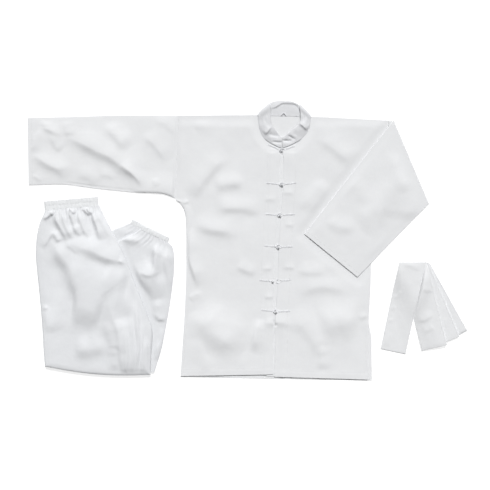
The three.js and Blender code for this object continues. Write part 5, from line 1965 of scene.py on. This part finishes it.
        line = [(x, level[top]) for x in np.linspace(-end, end, count)]
        if layers == 2:
            line += bend(end, 1, top, 0) + run(end, -end, 0)
        else:
            nested = -end + 3
            line += bend(end, 1, 3, 2) + run(end, nested, 2) + bend(nested, -1, 2, 1)
            line += run(nested, end, 1) + bend(end, 1, 1, 0) + run(end, -end, 0)
        line += bend(-end, -1, top, 0)[::-1]
        taken = np.zeros(len(line))
        shares = np.linspace(0, 1, count)
        taken[:count] = smooth(np.minimum(shares, 1 - shares) / 0.07)
        return np.array(line), taken

    def band(
        self, name: str, node: str, ends: tuple, height: float, count: int, layers: int, lift: float,
        channels: int,
    ) -> None:
        """A gathered elastic band laid flat.

        Args:
            name: the piece's name.
            node: the solid that it stands for.
            ends: where its top edge starts and ends.
            height: from its top edge to its seam.
            count: its gathers.
            layers: how many layers deep it lies.
            lift: how high it lies.
            channels: how many rows of elastic it holds.
        """
        a, b = (np.array(p, float) for p in ends)
        width = float(np.linalg.norm(b - a))
        line, taken = self.band_line(width, layers, count * 12)
        down = spread(height, 1.1, (0.0, 0.2, 0.5, 1.0))
        places = np.stack(np.broadcast_arrays(line[None, :, 0] + width, down[:, None]), -1)
        wander = 2.4 * self.noise(places * (0.25, 1.0) + 31.0, 11.0)
        gathered = self.gathers(places[..., 0] + wander, count, width)
        channel = np.abs(np.sin(math.pi * channels * down / height))[:, None] ** 0.6
        puffs = 0.5 + 0.8 * self.noise(places * (1.0, 1.3) + 83.0, 13.0)
        wave = self.band_wave * (0.5 + 0.42 * gathered) * mix(0.75, 1.0, channel) + 0.45 * (channel - 0.6)
        wave = wave + 0.9 * (puffs - 0.5)
        wave = np.maximum(wave, 0.0) * taken
        normal_line = np.roll(line, -1, axis=0) - np.roll(line, 1, axis=0)
        out = np.stack([-normal_line[:, 1], normal_line[:, 0]], -1)
        out /= np.linalg.norm(out, axis=1, keepdims=True)
        edge = np.minimum(down, height - down)
        half = half_wall(edge, least=0.15)[:, None]
        along = (b - a) / width
        way_down = np.array([along[1], -along[0]])
        middle = (a + b) / 2
        uneven = 0.5 * gathered * taken  # the gathered edge is a little scalloped

        def skin(side: float) -> Array:
            """The inner or the outer skin.

            Args:
                side: 1 for the outer skin, -1 for the inner one.

            Returns:
                Rows of points in mm.
            """
            x = line[None, :, 0] + side * out[None, :, 0] * half
            z = line[None, :, 1] + side * out[None, :, 1] * half + wave
            y = down[:, None] + uneven * smooth((height - down) / height)[:, None]
            xy = middle + x[..., None] * along + y[..., None] * way_down
            return raised(xy, z + lift)

        outer, inner = skin(1.0), skin(-1.0)
        length = lengths_along(line)
        uv = np.stack(np.broadcast_arrays(length[None], down[:, None]), -1) * MM
        piece = self.tube(name, outer, inner, uv)
        self.finish(piece, self.elastic, "elastic_band", node)

    def waistband(self) -> None:
        """The waistband, folded in four, with two rows of elastic."""
        turned = math.atan2(self.waist_rise, self.waist_quarter)
        half = self.waist_quarter / 2 * np.array([math.cos(turned), math.sin(turned)])
        self.band(
            "waistband", "trousers_waistband", (tuple(-half), tuple(half)), self.waistband_height,
            self.waist_gathers, 4, 0.0, 2,
        )

    def ankle(self, name: str) -> None:
        """A gathered ankle, with one row of elastic.

        Args:
            name: right for the one on the floor, left for the one on it.
        """
        ends, lift = (ANKLE_RIGHT, 0.0) if name == "right" else (ANKLE_LEFT, self.upper_ankle_lift)
        self.band(
            f"ankle_{name}", f"trousers_ankle_{name}", ends, self.ankle_band_height,
            self.ankle_gathers, 2, lift, 1,
        )


BELT_STRIPS = (
    # angle from straight down, length, from the strip on top down the stack
    (-11.8, 264),
    (14, 253),
    (14, 253),
    (23, 244),
    (23, 244),
    (29, 240),
    (29, 232),
)
BELT_FOLDS = (
    Fold(((-42, -93), (-35, -58), (-33, -30), (-26, -11)), 0.9, 6, 5),
    Fold(((-25, -8), (-11, -5), (10, -14), (32, -20)), 1.0, 14, 6),
    Fold(((-31, -76), (-39, -93), (-53, -103)), 0.8, 8, 5),
    Fold(((-47, -125), (-60, -137)), 0.7, 7, 5),
    Fold(((-53, -166), (-68, -168)), 0.7, 7, 5),
    Fold(((-62, -196), (-80, -243)), 0.8, 12, 9),
    Fold(((24, -70), (42, -78), (58, -74)), 1.1, 13, 6),
    Fold(((12, -164), (34, -162), (64, -143)), 1.8, 18, 7),
    Fold(((28, -200), (48, -192), (64, -184)), 1.1, 13, 7),
    Fold(((93, -190), (95, -158)), 0.8, 14, 8),
)


@dataclass
class Belt(Garment):
    """The belt: one strip folded to and fro into a fan."""

    seed: int = field(default=53, kw_only=True)
    width: float = 74.0
    wall: float = 1.5
    pitch: float = 2.1  # from one fold of the fan to the next
    centre: tuple = (3.0, 1.0)
    slide: float = 2.2  # how far each pair of strips slides along the top fold
    top_shift: float = 3.0  # how far the strip on top lies to the left
    spacing: float = 2.4
    cross_spacing: float = 1.6
    hidden_spacing: float = 5.0  # along the strips under the first two
    seam_inset: float = 3.0  # from each long edge to its row of stitches
    crumple: Crumple = Crumple(0.7, 0.4, 0.12)

    def __post_init__(self) -> None:
        """Works out the strips."""
        super().__post_init__()
        self.strips = []
        for i, (angle, length) in enumerate(BELT_STRIPS):
            down = np.array([math.sin(math.radians(angle)), -math.cos(math.radians(angle))])
            side = np.array([-down[1], down[0]])
            slide = self.slide * max(0, math.ceil(i / 2) - 1)
            head = np.array([self.centre[0] + 2 * slide, self.centre[1] - slide])
            if i == 0:
                head = head - (self.top_shift, 0.0)
            half = side * self.width / 2
            outline = (head - half, head + half, head + half + down * length, head - half + down * length)
            self.strips.append((head, down, side, length, math.tan(math.radians(angle)), outline))

    def height(self, index: int, xy: Array) -> Array:
        """How high a strip lies, on all the strips after it."""
        below = [covers(strip[5], 8, 46)(xy) for strip in self.strips[index + 1 :]]
        return self.pitch * sum(below) if below else np.zeros(xy.shape[:-1])

    def beside_top_strip(self, index: int, xy: Array) -> Array:
        """The ridge of the second strip beside the edge of the one on top, with the cleft between them.

        Args:
            index: the strip's number from the top.
            xy: its points in mm.

        Returns:
            The heights in mm.
        """
        head, down, side, _, _, _ = self.strips[0]
        from_edge = (xy - head) @ side - self.width / 2
        along = (xy - head) @ down
        reach = smooth((along + 10) / 60) * smooth((170 - along) / 110)
        if index == 0:
            return 1.6 * reach * bump_at(from_edge, 16)
        if index == 1:
            cleft = 3.6 + 2.8 * (1 - clamp01(along / 170))
            return 10.0 * reach * smooth(from_edge / cleft) * bump_at(np.maximum(from_edge - cleft, 0), 24)
        return np.zeros(xy.shape[:-1])

    def build(self) -> None:
        """Makes the whole strip, bend by bend."""
        d = across(np.array([self.width]), self.cross_spacing)[0]
        w = d / (self.width / 2) - 1
        runs = []
        for i, (head, down, side, length, slope, _) in enumerate(self.strips):
            t = np.linspace(0, 1, round(length / (self.spacing if i < 2 else self.hidden_spacing)))[:, None]
            crease = (1 - t) ** 2 * slope * self.width / 2 * w
            along = t * length + crease
            xy = head + along[..., None] * down + (w * self.width / 2)[None, :, None] * side
            covered = sum((covers(strip[5], 2, 9)(xy) for strip in self.strips[:i]), np.zeros(xy.shape[:-1]))
            free = clamp01(1 - covered) * smooth(t / 0.03) * smooth((1 - t) / 0.03)
            relief = fold_relief(BELT_FOLDS, xy, self.noise) + self.crumple(xy, self.noise) + 0.25
            sewn = 0.3 * bump_at(np.minimum(d, self.width - d) - self.seam_inset, 1.5)
            z = self.height(i, xy) + self.wall / 2 + np.maximum(relief, 0) * free - sewn * free
            z = z + self.beside_top_strip(i, xy)
            lines = raised(xy, z)
            runs.append(lines[::-1] if i % 2 == 0 else lines)
        rows = [runs[0]]
        for lines, following in zip(runs, runs[1:]):
            last, first = lines[-1], following[0]
            out = (last - lines[-4])[:, :2].mean(0)
            out = np.append(out / np.linalg.norm(out), 0.0)
            radius = np.maximum(0.5, np.abs(last - first)[:, 2] / 2)[:, None]
            for angle in np.radians(np.linspace(-75, 75, 9)):
                between = mix(last, first, 0.5 + math.sin(angle) / 2)
                rows.append((between + out * radius * math.cos(angle))[None])
            rows.append(following)
        middle = np.concatenate(rows)
        length = lengths_along(middle.mean(1))
        from_end = np.minimum(length, length[-1] - length)[:, None]
        near = np.minimum(from_end, np.minimum(d, self.width - d)[None])
        half = half_wall(near, self.wall, 0.2)[..., None]
        normal = normals_of(middle)
        uv = np.stack(np.broadcast_arrays(length[:, None], d[None]), -1) * MM
        upper, lower = self.world(middle + normal * half), self.world(middle - normal * half)
        piece = shell("belt_strip", upper, lower, uv)
        self.finish(piece, self.material, "belt_cotton", "belt")


@dataclass
class Sewing(Garment):
    """The rows of stitches that show on a garment."""

    stitches: Tree
    pitch: float = 0.0031
    stitch: float = 0.0025
    thread_radius: float = 0.0003

    def sew(self, name: str, seams: Sequence[Array], cloth: Surface, slot: str) -> None:
        """Sews rows of stitches on the cloth.

        Args:
            name: the piece's name.
            seams: rows of points in the garment's mm.
            cloth: what they are sewn on.
            slot: passed on to finish, which does not use it.
        """
        paths = []
        for seam in seams:
            laid = cloth.lay(self.world(seam), self.thread_radius * 0.35)
            if len(laid) > 2:
                paths.append(laid)
        piece = follow(
            name, paths, [False] * len(paths), self.stitches,
            Pitch=self.pitch, Stitch=self.stitch, Thread=self.thread_radius, Seed=5, Material=self.material,
        )
        self.finish(piece, self.material, slot)


def beside(curve: Curve, distance: float, start: float, end: float) -> Array:
    """Points along a curve, moved sideways by a distance, which is above 0 on its left.

    Args:
        curve: the edge.
        distance: how far beside it, in mm.
        start: where on the curve to begin, from 0 to 1.
        end: where to stop.

    Returns:
        Rows of x and y in mm.
    """
    t = np.linspace(start, end, 400)
    travelled = lengths_along(curve(t))
    even = np.interp(np.linspace(0, travelled[-1], max(3, round(travelled[-1] / ROW_STEP))), travelled, t)
    line = curve(even)
    along = np.gradient(line, axis=0)
    along /= np.linalg.norm(along, axis=1, keepdims=True)
    return line + distance * np.stack([-along[:, 1], along[:, 0]], -1)


def straight(a: Sequence[float], b: Sequence[float], step: float = ROW_STEP) -> Array:
    """Evenly spaced points from a to b."""
    a, b = np.array(a, float), np.array(b, float)
    return mix(a, b, np.linspace(0, 1, max(3, round(np.linalg.norm(b - a) / step)))[:, None])


# THE STUDIO


@dataclass
class Studio:
    """The paper, the soft light and the camera straight above."""

    centre: tuple[float, float]  # the point under the camera, in metres
    view_width: float = 1.421  # of the layout that the picture takes in, in metres
    camera_height: float = 3.0
    sensor: float = 36.0  # in mm
    paper_size: float = 12.0
    paper_level: float = -0.0004  # just under the cloth
    sun_strength: float = 3.05
    sun_width: float = 16.0  # in degrees, which softens the shadows
    sky_strength: float = 0.2
    light_from: tuple = (0.07, 0.8, 1.0)

    def build(self) -> None:
        """Sets up the floor, the light and the camera."""
        x, y = self.centre
        size = self.paper_size / 2
        signs = ((-1, -1), (1, -1), (1, 1), (-1, 1))
        corners = [(x + a * size, y + b * size, self.paper_level) for a, b in signs]
        mesh = bpy.data.meshes.new("backing_paper")
        mesh.from_pydata(corners, [], [(0, 1, 2, 3)])
        mesh.materials.append(paper_floor())
        floor = show("backing_paper", mesh)

        camera = bpy.data.cameras.new("camera")
        camera.sensor_width = self.sensor
        camera.lens = self.sensor * self.camera_height / self.view_width
        camera.clip_end = 50.0
        eye = show("camera", camera)
        eye.location = (x, y, self.camera_height)
        bpy.context.scene.camera = eye

        sun = bpy.data.lights.new("soft_window", "SUN")
        sun.energy = self.sun_strength
        sun.angle = math.radians(self.sun_width)
        lamp = show("soft_window", sun)
        lamp.rotation_euler = Vector(self.light_from).to_track_quat("Z", "Y").to_euler()

        world = bpy.data.worlds.new("white_room")
        world.use_nodes = True
        backdrop = world.node_tree.nodes["Background"]
        backdrop.inputs["Color"].default_value = linear("#FFFFFF")
        backdrop.inputs["Strength"].default_value = self.sky_strength
        bpy.context.scene.world = world
        bpy.context.scene.view_settings.view_transform = "Standard"
        bpy.context.scene.view_settings.look = "None"


def origins() -> dict[str, tuple[float, float]]:
    """Where the garments' own frames lie in the shared frame, in mm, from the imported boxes.

    Returns:
        For each garment its origin, and the middle of the picture.
    """
    sleeve_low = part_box("jacket_sleeve_right")[0]
    back_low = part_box("jacket_back")[0]
    jacket = (
        sleeve_low.x / MM + Jacket.sleeve_reach,
        back_low.y / MM + Jacket.lowest_hem + Jacket.hem_drop,
    )
    # From the jacket's origin to the others', as they lie in the layout.
    to_trousers, to_belt, to_middle = (-616.0, -241.0), (370.0, -426.0), (-113.0, -374.0)
    return {
        "jacket": jacket,
        "trousers": (jacket[0] + to_trousers[0], jacket[1] + to_trousers[1]),
        "belt": (jacket[0] + to_belt[0], jacket[1] + to_belt[1]),
        "middle": (jacket[0] + to_middle[0], jacket[1] + to_middle[1]),
    }


def sew_jacket(jacket: Jacket, thread: Material, stitches: Tree) -> None:
    """Sews the jacket's facings, hems, slits and cuffs.

    Args:
        jacket: the jacket, with its cloth made.
        thread: the thread's material.
        stitches: the tree that makes stitches.
    """
    facing = jacket.facing - STITCHES_IN
    hem = jacket.hem_depth - STITCHES_IN
    slit = jacket.slit_hem - STITCHES_IN
    slit_top = 2.1 / (len(FRONT_LEFT_ROWS) - 1)
    seams = [
        beside(jacket.front_right, facing, 0.03, 0.72),
        beside(jacket.front_left, -facing, 0.03, 0.72),
        beside(jacket.side_right, -slit, 0.03, slit_top),
        beside(jacket.side_left, slit, 0.03, slit_top),
        straight((-291, -753 + hem), (-72, -749 + hem)),
        straight((10, -757 + hem), (236, -763 + hem)),
    ]
    cloth = Surface(jacket.made["front_right"], jacket.made["front_left"], jacket.made["sleeve_folded"])
    sewing = Sewing(jacket.origin, thread, stitches)
    sewing.sew("jacket_stitching", seams, cloth, "cotton")
    cuff = jacket.cuff_hem - STITCHES_IN
    top, bottom = np.array(SLEEVE_LEFT_CUFF, float)
    inward = np.array(SLEEVE_LEFT_CREASE[0], float) - top
    inward = inward / np.linalg.norm(inward) * cuff
    seams = [
        straight((-743 + cuff, -9), (-740 + cuff, -198)),
        straight(top + inward, bottom + inward),
    ]
    cloth = Surface(jacket.made["sleeve_stretched"], jacket.made["sleeve_folded"])
    sewing.sew("cuff_stitching", seams, cloth, "cotton")


def sew_trousers(trousers: Trousers, thread: Material, stitches: Tree) -> None:
    """Sews the rows that hold the waistband's elastic.

    Args:
        trousers: the trousers, with the waistband made.
        thread: the thread's material.
        stitches: the tree that makes stitches.
    """
    turned = math.atan2(trousers.waist_rise, trousers.waist_quarter)
    along = np.array([math.cos(turned), math.sin(turned)])
    down = np.array([along[1], -along[0]])
    reach = along * (trousers.waist_quarter / 2 - 5)
    seams = []
    for share in (0.06, 0.5, 0.94):
        middle = down * trousers.waistband_height * share
        seams.append(straight(middle - reach, middle + reach, 1.2))
    cloth = Surface(trousers.made["waistband"])
    sewing = Sewing(trousers.origin, thread, stitches)
    sewing.sew("waistband_stitching", seams, cloth, "elastic_band")


def sew_belt(belt: Belt, thread: Material, stitches: Tree) -> None:
    """Sews the rows along both edges of the strips that show.

    Args:
        belt: the belt, with its strip made.
        thread: the thread's material.
        stitches: the tree that makes stitches.
    """
    seams = []
    inside = belt.width / 2 - belt.seam_inset
    for index, (head, down, side, length, _, _) in enumerate(belt.strips[:6]):
        for sign in (-1, 1):
            top = head + side * sign * inside
            line = straight(top + down * (10 + sign * 4), top + down * (length - 4))
            above = (covers(strip[5], 0.5, 1)(line) for strip in belt.strips[:index])
            hidden = sum(above, np.zeros(len(line)))
            shown = line[hidden < 0.01]
            if len(shown) > 4:
                seams.append(shown)
    cloth = Surface(belt.made["belt_strip"])
    Sewing(belt.origin, thread, stitches).sew("belt_stitching", seams, cloth, "belt_cotton")


def main() -> None:
    """Builds the studio and the three garments, piece by piece."""
    logging.basicConfig(level=logging.INFO, format="%(name)s %(message)s")
    at = origins()
    Studio((at["middle"][0] * MM, at["middle"][1] * MM)).build()
    finishes = (
        JACKET_COTTON, COLLAR_COTTON_PAINTED_SHADE, TROUSER_COTTON_PAINTED_SHADE, BELT_COTTON, ELASTIC_BAND, ROLLED_CORD, SEWING_THREAD
    )
    cotton, collar_cotton_painted_shade, leg_cotton_painted_shade, belt_cotton, elastic, cord, thread = (
        finish.make() for finish in finishes
    )
    cords, stitches = cord_tree(), stitch_tree()

    jacket = Jacket(at["jacket"], cotton)
    jacket.back()
    jacket.underlap()
    jacket.front("front_right", "jacket_front_right", True)
    jacket.front("front_left", "jacket_front_left", False)
    jacket.sleeve_right()
    jacket.sleeve_left()
    # The collar's cotton is painted darker than the jacket's: painted shade.
    collar = Collar(at["jacket"], collar_cotton_painted_shade, cord, cords)
    collar.build()
    collar.loop()
    fronts = Surface(jacket.made["front_right"], jacket.made["front_left"])
    frogs = Frogs(at["jacket"], cord, cords, fronts)
    for index, frog in enumerate(FROGS, start=1):
        frogs.knot(index, frog)
        frogs.loop(index, frog)
    sew_jacket(jacket, thread, stitches)

    # The trousers' cotton is painted greyer than the jacket's: painted shade.
    trousers = Trousers(at["trousers"], leg_cotton_painted_shade, elastic)
    trousers.lower_leg("right")
    trousers.lower_leg("left")
    trousers.folded_layers()
    trousers.thigh()
    trousers.waistband()
    trousers.ankle("right")
    trousers.ankle("left")
    sew_trousers(trousers, thread, stitches)

    belt = Belt(at["belt"], belt_cotton)
    belt.build()
    sew_belt(belt, thread, stitches)


if __name__ == "__main__":
    main()
